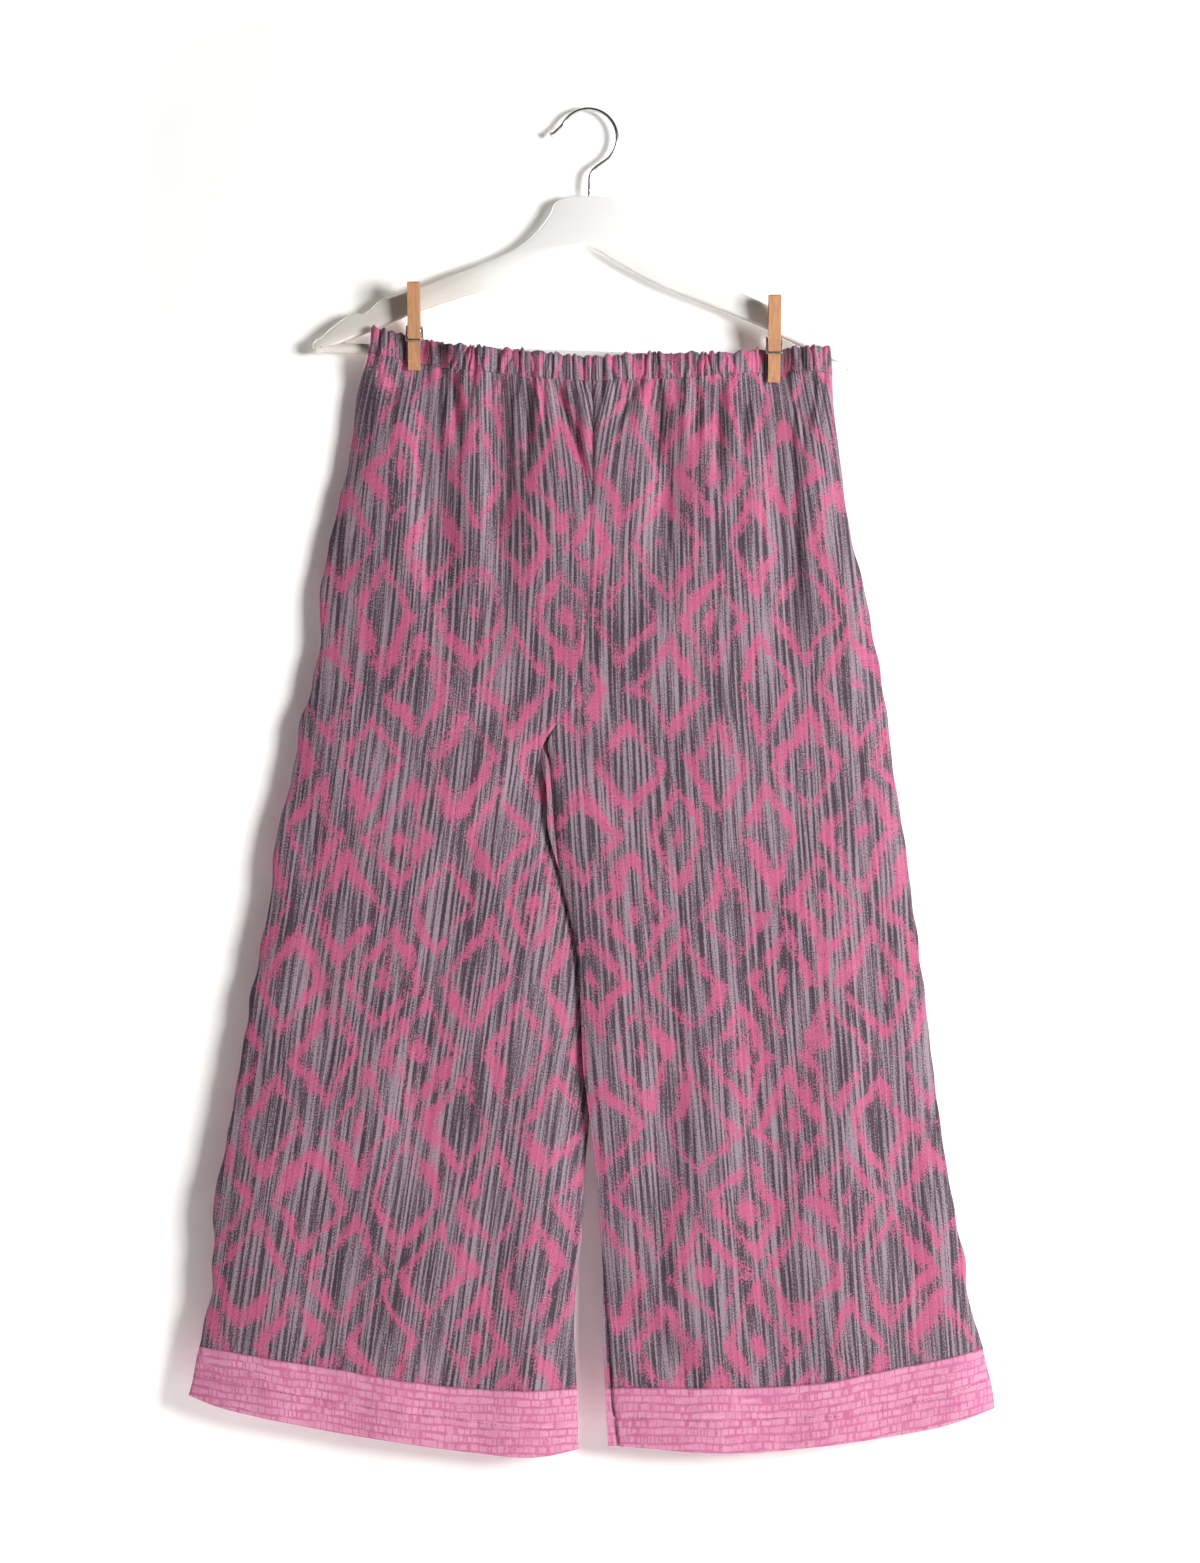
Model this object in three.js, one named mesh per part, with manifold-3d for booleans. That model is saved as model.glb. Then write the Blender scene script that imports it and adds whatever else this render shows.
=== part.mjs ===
// Palazzo pants with a gathered elastic waist and contrast hem bands,
// clipped by two clothespins to the bar of a shaped wooden hanger.
// Millimetres, +Z up. The origin is the seat of the hanger's hook, on the hook's inner top.
// The front of the garment faces -Y. Right and left are the wearer's, so the right leg is at -X.
import * as THREE from "three";
import { mergeVertices } from "three/addons/utils/BufferGeometryUtils.js";
import Module from "manifold-3d";

const wasm = await Module();
wasm.setup();

// Sizes of the cloth
const clothWall = 1.2;
const bandWall = 1.8;
const seamGap = 0.3;
const legGap = 0.7 * seamGap;
const gathersPerPanel = 24;
const gather = {
  depth: 1.1,
  evenShare: 0.78,
  unevenShare: 0.22,
  unevenStep: 1.7,
  frontShift: 2.1,
  fadeLength: 26,
  pinReach: 13,
};
const crotchDrop = 520;
const crotchX = -38.9;

// How the cloth swells between its folds, and its slow flutes down the legs
const swelling = {
  sideReach: 22,
  foldReach: 24,
  pinReach: 26,
  fluteShare: 0.16,
  fluteRun: 17,
  fluteStart: 560,
  fluteFull: 900,
  mostDent: 0.7,
};

// Where the legs overlap, the left one is pushed forward and the right one back
const overlap = { push: 5, startLength: 20, endFrom: 835, endTo: 930, reach: 45 };

// A trough fades in above its start and out below its length
const troughFade = { inFrom: -0.25, inTo: 0.05, outFrom: 0.45, outTo: 1.3, leanFrom: -0.2, leanTo: 1.4 };

// Sizes of the hanger, in its own upright frame, which hangs tilted on the hook
const hangerTilt = THREE.MathUtils.degToRad(1.86);
const hangerAxisX = 3.2;
const hangerThickness = 9;
const hangerEdgeRound = 2.6;
const barRadius = 4.35;
const barDrop = 199.6;
const barHalfLength = 214;
const wireRadius = 1.5;
const hookRadius = 23.4;
const shankDrop = 82;
const boreRadius = wireRadius + seamGap;

// Sizes of a clothespin, each prong drawn from its jaw tip up
const pin = {
  length: 71.5,
  width: 10,
  thickness: 6.2,
  tipThickness: 5,
  notchAt: 15.5,
  notchRadius: barRadius + 0.55,
  notchDepth: 4.25,
  coilRadius: 3.6,
  coilAboveBar: 15,
  wireGrooveAt: 24.6,
  wireRadius: 0.8,
  handleThin: 3.2,
  tipBelowBar: 16.1,
  releaseBelow: 45,
  cornerCut: 0.7,
  grooveSlack: 0.35,
  jawTaper: 9,
  handleAboveCoil: 5,
  coilOverhang: 1.2,
};
const clampSlack = 3.4 * seamGap;
const clothTurnsBelowBar = 5;
const clothSlope = Math.tan(THREE.MathUtils.degToRad(11.8));
const clothSlopeReach = 26;

// At the casing's two ends the cloth keeps forward of the hanger's arms
const armClearance = {
  depth: 0.9,
  leftFrom: 158,
  leftTo: 170,
  rightFrom: -160,
  rightTo: -172,
  fadeFrom: 218,
  fadeTo: 262,
};
const pinPlaces = [
  { name: "pin_right", x: -140.9, frontLean: 12.5, rearLean: 23 },
  { name: "pin_left", x: 150.7, frontLean: 17, rearLean: 27.7 },
];

// Centre front and centre back seam, from the casing down to the crotch
const centreSeam = [
  { drop: 190, x: 3.2 },
  { drop: 222, x: 3.2 },
  { drop: 275, x: 4.5 },
  { drop: 340, x: 1.6 },
  { drop: 391, x: 0.6 },
  { drop: 430, x: -3.2 },
  { drop: 458, x: -7.3 },
  { drop: 476, x: -13.8 },
  { drop: 496, x: -23.8 },
  { drop: 511, x: -34 },
  { drop: 520, x: -38.9 },
];

// Outer fold of each leg, where front and back meet at the side seam
const rightOutline = [
  { drop: 177, x: -175.8 },
  { drop: 198, x: -178.6 },
  { drop: 216, x: -183.9 },
  { drop: 236, x: -188.7 },
  { drop: 285, x: -194.4 },
  { drop: 318, x: -203.3 },
  { drop: 350, x: -210.2 },
  { drop: 399, x: -217.9 },
  { drop: 431, x: -217.9 },
  { drop: 463, x: -223.6 },
  { drop: 496, x: -233.3 },
  { drop: 528, x: -239 },
  { drop: 560, x: -245.4 },
  { drop: 593, x: -253.5 },
  { drop: 641, x: -258.8 },
  { drop: 690, x: -268.1 },
  { drop: 739, x: -277.5 },
  { drop: 787, x: -284.3 },
  { drop: 836, x: -294 },
  { drop: 884, x: -303.8 },
  { drop: 949, x: -305.4 },
  { drop: 998, x: -314.3 },
  { drop: 1044, x: -325.6 },
];
const leftOutline = [
  { drop: 193, x: 196.8 },
  { drop: 212, x: 198.2 },
  { drop: 236, x: 199.3 },
  { drop: 285, x: 204.9 },
  { drop: 350, x: 214.7 },
  { drop: 382, x: 222.8 },
  { drop: 447, x: 235.7 },
  { drop: 480, x: 241.4 },
  { drop: 544, x: 249.5 },
  { drop: 609, x: 259.2 },
  { drop: 690, x: 270 },
  { drop: 739, x: 276.2 },
  { drop: 787, x: 281 },
  { drop: 836, x: 288.4 },
  { drop: 901, x: 298.9 },
  { drop: 933, x: 306.2 },
  { drop: 966, x: 309.4 },
  { drop: 998, x: 318.3 },
  { drop: 1030, x: 327.2 },
  { drop: 1055, x: 331.3 },
];

// Inner fold of each leg below the crotch; the left leg lies in front of the right one
const leftFold = [
  { drop: 520, x: -38.9 },
  { drop: 550, x: -34 },
  { drop: 586, x: -32.4 },
  { drop: 616, x: -24.3 },
  { drop: 640, x: -18.6 },
  { drop: 687, x: -8.1 },
  { drop: 742, x: -4.9 },
  { drop: 779, x: -3.2 },
  { drop: 815, x: 1.6 },
  { drop: 872, x: 8.5 },
  { drop: 943, x: 12.2 },
  { drop: 995, x: 12.2 },
  { drop: 1087, x: 16.2 },
];
const rightFold = [
  { drop: 520, x: -39.5 },
  { drop: 540, x: -36.1 },
  { drop: 575, x: -27 },
  { drop: 610, x: -12 },
  { drop: 650, x: -3.5 },
  { drop: 722, x: 1.6 },
  { drop: 820, x: 0.8 },
  { drop: 867, x: -3.2 },
  { drop: 904, x: -4.1 },
  { drop: 949, x: -8.9 },
  { drop: 988, x: -11.3 },
  { drop: 1022, x: -9.7 },
  { drop: 1087, x: -7.6 },
];

// How far the left front's inseam stands in from the leg's inner fold
const inseamInset = [
  { drop: 500, inset: 0 },
  { drop: 511, inset: 2 },
  { drop: 522, inset: 6 },
  { drop: 550, inset: 4.5 },
  { drop: 586, inset: 5.6 },
  { drop: 616, inset: 0.6 },
  { drop: 640, inset: 0 },
  { drop: 950, inset: 0 },
  { drop: 1000, inset: 4.5 },
  { drop: 1040, inset: 5 },
  { drop: 1087, inset: 9 },
];

// Top edge of the casing and the seam below it
const waistLines = [
  { x: -178, top: 177.2, seam: 197.9 },
  { x: -152, top: 183.1, seam: 203.3 },
  { x: -128, top: 188.7, seam: 208 },
  { x: -104, top: 193.6, seam: 212.4 },
  { x: -79, top: 195.2, seam: 214.7 },
  { x: -55, top: 197.6, seam: 217.6 },
  { x: -31, top: 200.1, seam: 220 },
  { x: -6, top: 202.5, seam: 221.5 },
  { x: 18, top: 202.5, seam: 221.6 },
  { x: 42, top: 200.1, seam: 221 },
  { x: 91, top: 200.1, seam: 218.5 },
  { x: 115, top: 199.3, seam: 215.6 },
  { x: 139, top: 196, seam: 214 },
  { x: 172, top: 194.4, seam: 213 },
  { x: 198, top: 193.6, seam: 215.1 },
];

// Seam above each hem band and the band's lower edge
const hemLines = [
  { x: -326, seam: 1003.2, edge: 1044.1 },
  { x: -298, seam: 1007, edge: 1053.8 },
  { x: -250, seam: 1014.7, edge: 1064.3 },
  { x: -201, seam: 1022.6, edge: 1074.1 },
  { x: -152, seam: 1031, edge: 1081.4 },
  { x: -104, seam: 1037, edge: 1088.6 },
  { x: -55, seam: 1039.5, edge: 1093.5 },
  { x: -31, seam: 1039.3, edge: 1092.7 },
  { x: 4, seam: 1038.4, edge: 1086.4 },
  { x: 42, seam: 1037.5, edge: 1086.4 },
  { x: 91, seam: 1037.2, edge: 1089.5 },
  { x: 139, seam: 1036.7, edge: 1089.5 },
  { x: 188, seam: 1033, edge: 1084.6 },
  { x: 236, seam: 1024.2, edge: 1078.1 },
  { x: 285, seam: 1014.5, edge: 1069.2 },
  { x: 332, seam: 1003.5, edge: 1054.4 },
];

// Half depth of the hollow between front and back, and the share of it that swells rearwards
const hollow = [
  { drop: 177, half: 6.4, rearShare: 0 },
  { drop: 222, half: 6.8, rearShare: 0 },
  { drop: 300, half: 7.6, rearShare: 0.3 },
  { drop: 420, half: 8, rearShare: 0.5 },
  { drop: 800, half: 8, rearShare: 0.5 },
  { drop: 1095, half: 9, rearShare: 0.5 },
];

// Troughs pressed into the front and the back under the casing
const frontTroughs = [
  { x: -130, lean: 0, depth: 4, width: 7, length: 155 },
  { x: -109, lean: 2, depth: 2.2, width: 5, length: 60 },
  { x: -73.7, lean: 0, depth: 5, width: 7, length: 125 },
  { x: -49, lean: 0, depth: 2.2, width: 5, length: 70 },
  { x: -26.7, lean: 28, depth: 3.6, width: 6, length: 85 },
  { x: 38.9, lean: -15, depth: 3, width: 5, length: 30 },
  { x: 54.3, lean: 0, depth: 4.6, width: 6, length: 55 },
  { x: 86.7, lean: 0, depth: 2.2, width: 5, length: 50 },
  { x: 105.3, lean: 0, depth: 3.6, width: 6, length: 70 },
  { x: 127, lean: 0, depth: 2.2, width: 5, length: 50 },
  { x: 156.3, lean: 10, depth: 6, width: 8, length: 175 },
  { x: 182.3, lean: -4, depth: 3.2, width: 6, length: 50 },
];
const backTroughs = [
  { x: -150, lean: 3, depth: 4, width: 7, length: 120 },
  { x: -112, lean: 0, depth: 3, width: 6, length: 70 },
  { x: -81, lean: -4, depth: 4.6, width: 7, length: 140 },
  { x: -44, lean: 6, depth: 2.4, width: 6, length: 60 },
  { x: -15, lean: 0, depth: 3.4, width: 6, length: 85 },
  { x: 31, lean: -6, depth: 3.8, width: 6, length: 95 },
  { x: 68, lean: 0, depth: 2.4, width: 5, length: 55 },
  { x: 96, lean: 4, depth: 4.8, width: 7, length: 130 },
  { x: 133, lean: 0, depth: 3.6, width: 6, length: 80 },
  { x: 168, lean: 5, depth: 4, width: 7, length: 110 },
];

// Rows of each leg panel as shares of its length, and how many columns lie between a row and the next
const panelRows = [
  { share: 0, columns: 48 },
  { share: 0.016, columns: 48 },
  { share: 0.036, columns: 24 },
  { share: 0.066, columns: 24 },
  { share: 0.1, columns: 24 },
  { share: 0.15, columns: 24 },
  { share: 0.21, columns: 24 },
  { share: 0.29, columns: 24 },
  { share: "crotch", columns: 24 },
  { share: 0.385, columns: 12 },
  { share: 0.42, columns: 12 },
  { share: 0.47, columns: 12 },
  { share: 0.53, columns: 12 },
  { share: 0.6, columns: 12 },
  { share: 0.67, columns: 12 },
  { share: 0.74, columns: 12 },
  { share: 0.81, columns: 12 },
  { share: 0.88, columns: 12 },
  { share: 0.94, columns: 12 },
  { share: 1, columns: 12 },
];

// Colours and surfaces
const materials = {
  printedCloth: new THREE.MeshStandardMaterial({ color: 0xa1758a, roughness: 0.9, metalness: 0 }),
  bandCloth: new THREE.MeshStandardMaterial({ color: 0xe18ab0, roughness: 0.9, metalness: 0 }),
  whitePaint: new THREE.MeshStandardMaterial({ color: 0xeae3da, roughness: 0.5, metalness: 0 }),
  chrome: new THREE.MeshStandardMaterial({ color: 0xc8ccd0, roughness: 0.15, metalness: 1 }),
  bareWood: new THREE.MeshStandardMaterial({ color: 0xd19a74, roughness: 0.7, metalness: 0 }),
  steel: new THREE.MeshStandardMaterial({ color: 0x9a9a98, roughness: 0.35, metalness: 1 }),
};

const clamp = (value, low, high) => Math.min(high, Math.max(low, value));

function smooth(from, to, value) {
  const t = clamp((value - from) / (to - from), 0, 1);
  return t * t * (3 - 2 * t);
}

// Reads a column of a table at any place, on a smooth curve through its rows
function read(table, placeKey, valueKey, place) {
  const last = table.length - 1;
  const at = clamp(place, table[0][placeKey], table[last][placeKey]);
  let i = 0;
  while (i < last - 1 && at > table[i + 1][placeKey]) i += 1;
  const slope = (k) => {
    const a = table[Math.max(k - 1, 0)];
    const b = table[Math.min(k + 1, last)];
    return (b[valueKey] - a[valueKey]) / (b[placeKey] - a[placeKey]);
  };
  const span = table[i + 1][placeKey] - table[i][placeKey];
  const t = (at - table[i][placeKey]) / span;
  const rise = table[i + 1][valueKey] - table[i][valueKey];
  const bend = (1 - t) * (slope(i) * span - rise) - t * (slope(i + 1) * span - rise);
  return table[i][valueKey] + rise * t + t * (1 - t) * bend;
}

// The legs: side -1 is the wearer's right leg, +1 the left leg
const outerX = (side, drop) => read(side < 0 ? rightOutline : leftOutline, "drop", "x", drop);

function innerX(side, drop, inset) {
  const foldTable = side < 0 ? rightFold : leftFold;
  const edge = read(drop <= crotchDrop ? centreSeam : foldTable, "drop", "x", drop);
  return edge + side * legGap + (inset ? read(inseamInset, "drop", "inset", drop) : 0);
}

const waistTop = (x) => read(waistLines, "x", "top", x);
const waistSeam = (x) => read(waistLines, "x", "seam", x);
const hemSeam = (x) => read(hemLines, "x", "seam", x);
const hemEdge = (x) => read(hemLines, "x", "edge", x);

// Depth of the bar's centre line below the hook at a place across the hanger
function barDropAt(x) {
  return barDrop / Math.cos(hangerTilt) + x * Math.tan(hangerTilt);
}

// How freely the cloth swells: 0 under a clothespin, 1 away from it
function clearOfPins(x, drop, reach) {
  const below = Math.max(0, drop - barDropAt(x) - pin.tipBelowBar) / pin.releaseBelow;
  return pinPlaces.reduce((free, place) => {
    const pinch = Math.exp(-(((x - place.x) / reach) ** 4) - below * below);
    return free * (1 - pinch);
  }, 1);
}

// Inner face of the back where front and back are pressed together
function restY(x, drop) {
  const slopeBack = clothSlope * clamp(drop - barDropAt(x) - clothTurnsBelowBar, 0, clothSlopeReach);
  const { depth, leftFrom, leftTo, rightFrom, rightTo, fadeFrom, fadeTo } = armClearance;
  const ends = Math.max(smooth(leftFrom, leftTo, x), smooth(rightFrom, rightTo, x));
  const clearOfArms = depth * ends * (1 - smooth(fadeFrom, fadeTo, drop));
  return -(barRadius + seamGap + clothWall) + slopeBack - clearOfArms;
}

function troughDepth(troughs, x, drop) {
  return troughs.reduce((sum, trough) => {
    const down = (drop - waistSeam(trough.x)) / trough.length;
    const along = clamp(down, troughFade.leanFrom, troughFade.leanTo);
    const start = smooth(troughFade.inFrom, troughFade.inTo, down);
    const fade = start * (1 - smooth(troughFade.outFrom, troughFade.outTo, down));
    const across = (x - trough.x - trough.lean * along) / trough.width;
    return sum + trough.depth * fade * Math.exp(-across * across);
  }, 0);
}

// How far the inner part of a leg is pushed forward or back where the legs overlap
function overlapPush(side, fromFold, drop) {
  const start = smooth(crotchDrop, crotchDrop + overlap.startLength, drop);
  const size = overlap.push * start * (1 - smooth(overlap.endFrom, overlap.endTo, drop));
  return side * size * Math.exp(-fromFold / overlap.reach);
}

// Inner faces of front and back at a place on a leg, before the gathers
function facesAt(side, x, drop) {
  const fromSide = Math.abs(x - outerX(side, drop));
  const acrossCrotch = Math.hypot(x - crotchX, drop - crotchDrop);
  const fromFold = drop < crotchDrop ? acrossCrotch : Math.abs(x - innerX(side, drop, false));
  const { sideReach, foldReach, pinReach, fluteShare, fluteRun, fluteStart, fluteFull, mostDent } = swelling;
  const swell = (1 - Math.exp(-fromSide / sideReach)) * (1 - Math.exp(-fromFold / foldReach));
  const depth = 2 * read(hollow, "drop", "half", drop) * swell * clearOfPins(x, drop, pinReach);
  const rearShare = read(hollow, "drop", "rearShare", drop);
  const frontRoom = depth * (1 - rearShare);
  const backRoom = depth * rearShare;
  const flute = 1 + fluteShare * Math.sin(x / fluteRun + side * 2) * smooth(fluteStart, fluteFull, drop);
  const rest = restY(x, drop) - overlapPush(side, fromFold, drop);
  const frontDent = Math.min(troughDepth(frontTroughs, x, drop), mostDent * frontRoom);
  const backDent = Math.min(troughDepth(backTroughs, x, drop), mostDent * backRoom);
  return {
    front: rest - seamGap - frontRoom * flute + frontDent,
    back: rest + backRoom * flute - backDent,
  };
}

// Depth of one gather crest, uneven from crest to crest
function crest(column, layerShift) {
  if (column % 2 === 0) return 0;
  const uneven = gather.unevenShare * Math.sin(column * gather.unevenStep + layerShift);
  return 2 * gather.depth * (gather.evenShare + uneven);
}

function gatherFade(x, drop) {
  const below = 1 - smooth(0, gather.fadeLength, drop - waistSeam(x));
  return below * clearOfPins(x, drop, gather.pinReach);
}

// One point on a wall: its two faces share x and z, and y gives each face
function wallPoint(side, layer, x, drop, column, thickness) {
  const faces = facesAt(side, x, drop);
  const fade = gatherFade(x, drop);
  const backWave = crest(column, 0) * fade;
  const frontWave = crest(column, gather.frontShift) * fade;
  const behind = 2 * gather.depth * fade;
  if (layer === "back") {
    const inner = faces.back - backWave;
    return { x, z: -drop, near: inner, far: inner + thickness };
  }
  const inner = faces.front - behind - frontWave;
  return { x, z: -drop, near: inner - thickness, far: inner };
}

// A row of points from one side of a leg panel to its inner edge, left to right in x.
// A row's drop depends on x and the edges on the drop, so each point settles in a few passes.
const settlingPasses = 6;

function panelRow(side, layer, columns, dropAt, thickness) {
  const inset = side > 0 && layer === "front";
  const row = [];
  for (let j = 0; j <= columns; j += 1) {
    const across = side < 0 ? j / columns : 1 - j / columns;
    let x = outerX(side, crotchDrop);
    let drop = dropAt(x);
    for (let pass = 0; pass < settlingPasses; pass += 1) {
      x = THREE.MathUtils.lerp(outerX(side, drop), innerX(side, drop, inset), across);
      drop = dropAt(x);
    }
    const column = Math.round((j / columns) * 2 * gathersPerPanel);
    row.push(wallPoint(side, layer, x, drop, column, thickness));
  }
  return row;
}

// Closes a wall whose rows run from the top down, each from left to right
function wallGeometry(rows) {
  const starts = [];
  const positions = [];
  let count = 0;
  for (const row of rows) {
    starts.push(count);
    count += row.length;
  }
  for (const face of ["near", "far"]) {
    for (const row of rows) {
      for (const point of row) positions.push(point.x, point[face], point.z);
    }
  }
  const index = [];
  const addBoth = (a, b, c) => index.push(a, b, c, a + count, c + count, b + count);
  for (let i = 0; i < rows.length - 1; i += 1) {
    const top = starts[i];
    const low = starts[i + 1];
    const lowColumns = rows[i + 1].length - 1;
    if (rows[i].length === rows[i + 1].length) {
      for (let j = 0; j < lowColumns; j += 1) {
        addBoth(top + j, low + j, low + j + 1);
        addBoth(top + j, low + j + 1, top + j + 1);
      }
    } else {
      for (let j = 0; j < lowColumns; j += 1) {
        addBoth(top + 2 * j, low + j, top + 2 * j + 1);
        addBoth(top + 2 * j + 1, low + j, low + j + 1);
        addBoth(top + 2 * j + 1, low + j + 1, top + 2 * j + 2);
      }
    }
  }
  const lastRow = rows.length - 1;
  const rim = [];
  for (let i = 0; i < lastRow; i += 1) rim.push(starts[i]);
  for (let j = 0; j < rows[lastRow].length - 1; j += 1) rim.push(starts[lastRow] + j);
  for (let i = lastRow; i > 0; i -= 1) rim.push(starts[i] + rows[i].length - 1);
  for (let j = rows[0].length - 1; j > 0; j -= 1) rim.push(j);
  rim.forEach((a, k) => {
    const b = rim[(k + 1) % rim.length];
    index.push(a, a + count, b + count, a, b + count, b);
  });
  const geometry = new THREE.BufferGeometry();
  geometry.setAttribute("position", new THREE.Float32BufferAttribute(positions, 3));
  geometry.setIndex(index);
  geometry.computeVertexNormals();
  return geometry;
}

function legPanel(side, layer) {
  const innerTop = waistSeam(0) + seamGap;
  const innerHem = hemSeam(0);
  const crotchShare = (crotchDrop - innerTop) / (innerHem - innerTop);
  const rows = panelRows.map(({ share, columns }) => {
    const t = share === "crotch" ? crotchShare : share;
    const dropAt = (x) => (waistSeam(x) + seamGap) * (1 - t) + hemSeam(x) * t;
    return panelRow(side, layer, columns, dropAt, clothWall);
  });
  return wallGeometry(rows);
}

const bandRows = [0, 0.5, 1];
const hemColumns = 12;

function hemBand(side, layer) {
  const rows = bandRows.map((t) => {
    const dropAt = (x) => (hemSeam(x) + seamGap) * (1 - t) + hemEdge(x) * t;
    return panelRow(side, layer, hemColumns, dropAt, bandWall);
  });
  return wallGeometry(rows);
}

// Half of the casing: both panels' widths in one strip
function casing(layer) {
  const rows = bandRows.map((t) => {
    const dropAt = (x) => waistTop(x) * (1 - t) + waistSeam(x) * t;
    const rightHalf = panelRow(-1, layer, 2 * gathersPerPanel, dropAt, clothWall);
    const leftHalf = panelRow(1, layer, 2 * gathersPerPanel, dropAt, clothWall);
    return rightHalf.slice(0, -1).concat(leftHalf);
  });
  return wallGeometry(rows);
}

// Boolean work on closed meshes
function solidFrom(geometry) {
  const bare = geometry.clone();
  bare.deleteAttribute("normal");
  bare.deleteAttribute("uv");
  const merged = mergeVertices(bare, 1e-4);
  return new wasm.Manifold(
    new wasm.Mesh({
      numProp: 3,
      vertProperties: new Float32Array(merged.attributes.position.array),
      triVerts: new Uint32Array(merged.index.array),
    }),
  );
}

function geometryFrom(solid) {
  const mesh = solid.getMesh();
  const geometry = new THREE.BufferGeometry();
  geometry.setAttribute("position", new THREE.Float32BufferAttribute(mesh.vertProperties, 3));
  geometry.setIndex([...mesh.triVerts]);
  geometry.computeVertexNormals();
  return geometry;
}

function alongX(radius, length, sides) {
  return new THREE.CylinderGeometry(radius, radius, length, sides).rotateZ(Math.PI / 2);
}

// Hanger outline, from the neck out to the tip: distance from the axis and drop below the hook
const armTop = [
  [14.5, 69.5],
  [27, 75],
  [31.5, 86],
  [40.5, 98.5],
  [53, 111],
  [74, 122.5],
  [103, 133.5],
  [130, 145.5],
  [145, 152],
  [160, 157.5],
  [167.5, 160],
  [174, 167],
  [181, 171.5],
  [187, 170.8],
  [195, 175],
  [206, 183.4],
  [215, 192.5],
];
const armUnder = [
  [215, 204.6],
  [194, 194.3],
  [176, 186.2],
  [136, 168],
  [98, 154.6],
  [60, 141],
  [28, 125],
  [10, 114.5],
];
const armTip = { x: 214, drop: 199.2, radius: 7, angles: [55, 20, -15, -50] };
const armsMeetDrop = 110.8;
const boreLength = 40;

function hangerBody() {
  const top = armTop.map(([x, drop]) => new THREE.Vector2(x, -drop));
  const under = armUnder.map(([x, drop]) => new THREE.Vector2(x, -drop));
  const tip = armTip.angles.map((degrees) => {
    const angle = THREE.MathUtils.degToRad(degrees);
    const across = armTip.x + armTip.radius * Math.cos(angle);
    return new THREE.Vector2(across, armTip.radius * Math.sin(angle) - armTip.drop);
  });
  const topLine = new THREE.SplineCurve(top).getPoints(26);
  const underLine = new THREE.SplineCurve(under).getPoints(10);
  const half = topLine.concat(tip, underLine);
  const mirrored = half.map((point) => new THREE.Vector2(-point.x, point.y)).reverse();
  const apex = new THREE.Vector2(0, -armsMeetDrop);
  const outline = new THREE.Shape([apex, ...mirrored, ...half].reverse());
  const geometry = new THREE.ExtrudeGeometry(outline, {
    depth: hangerThickness - 2 * hangerEdgeRound,
    bevelEnabled: true,
    bevelThickness: hangerEdgeRound,
    bevelSize: hangerEdgeRound,
    bevelOffset: -hangerEdgeRound,
    bevelSegments: 2,
  });
  geometry.translate(0, 0, -(hangerThickness - 2 * hangerEdgeRound) / 2);
  geometry.rotateX(Math.PI / 2);
  const barSocket = alongX(barRadius + seamGap, 2 * barHalfLength + 2 * seamGap, 16);
  barSocket.translate(0, 0, -barDrop);
  const bore = new THREE.CylinderGeometry(boreRadius, boreRadius, boreLength, 12).rotateX(Math.PI / 2);
  bore.translate(0, 0, boreLength / 2 - shankDrop - seamGap);
  return geometryFrom(solidFrom(geometry).subtract(solidFrom(barSocket)).subtract(solidFrom(bore)));
}

function hangerBar() {
  return alongX(barRadius, 2 * barHalfLength, 16).translate(0, 0, -barDrop);
}

// The hook's wire: knob end, round hook, then back to the shank over the neck
const hookCentre = { x: -2.2, drop: 21.9 };
const hookArc = { from: 156, to: -60, step: 12 };
const knobRadius = 2.6;

function hookWire() {
  const centre = new THREE.Vector3(hookCentre.x, 0, -hookCentre.drop);
  const onHook = (degrees) => {
    const angle = THREE.MathUtils.degToRad(degrees);
    return new THREE.Vector3(
      centre.x + hookRadius * Math.cos(angle),
      0,
      centre.z + hookRadius * Math.sin(angle),
    );
  };
  const path = [new THREE.Vector3(-32.2, 0, -20.6), new THREE.Vector3(-27.6, 0, -16.6)];
  for (let degrees = hookArc.from; degrees >= hookArc.to; degrees -= hookArc.step) {
    path.push(onHook(degrees));
  }
  path.push(new THREE.Vector3(3, 0, -47.5));
  path.push(new THREE.Vector3(0.6, 0, -52));
  path.push(new THREE.Vector3(0, 0, -57));
  path.push(new THREE.Vector3(0, 0, -shankDrop));
  return path;
}

// A round wire along a line of points, with a ring square to the line at each point
function wireGeometry(points, radius, sides) {
  const positions = [];
  const along = points.map((point, i) => {
    const before = points[Math.max(i - 1, 0)];
    const after = points[Math.min(i + 1, points.length - 1)];
    return after.clone().sub(before).normalize();
  });
  let across = new THREE.Vector3(0.31, 0.9, 0.17).cross(along[0]).normalize();
  points.forEach((point, i) => {
    across = across.clone().addScaledVector(along[i], -across.dot(along[i])).normalize();
    const third = new THREE.Vector3().crossVectors(along[i], across);
    for (let k = 0; k < sides; k += 1) {
      const angle = (2 * Math.PI * k) / sides;
      const spot = point.clone();
      spot.addScaledVector(across, radius * Math.cos(angle));
      spot.addScaledVector(third, radius * Math.sin(angle));
      positions.push(spot.x, spot.y, spot.z);
    }
  });
  const index = [];
  for (let i = 0; i < points.length - 1; i += 1) {
    for (let k = 0; k < sides; k += 1) {
      const a = i * sides + k;
      const b = i * sides + ((k + 1) % sides);
      index.push(a, b, b + sides, a, b + sides, a + sides);
    }
  }
  const end = (points.length - 1) * sides;
  for (let k = 1; k < sides - 1; k += 1) {
    index.push(0, k + 1, k);
    index.push(end, end + k, end + k + 1);
  }
  const geometry = new THREE.BufferGeometry();
  geometry.setAttribute("position", new THREE.Float32BufferAttribute(positions, 3));
  geometry.setIndex(index);
  return geometry;
}

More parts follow.
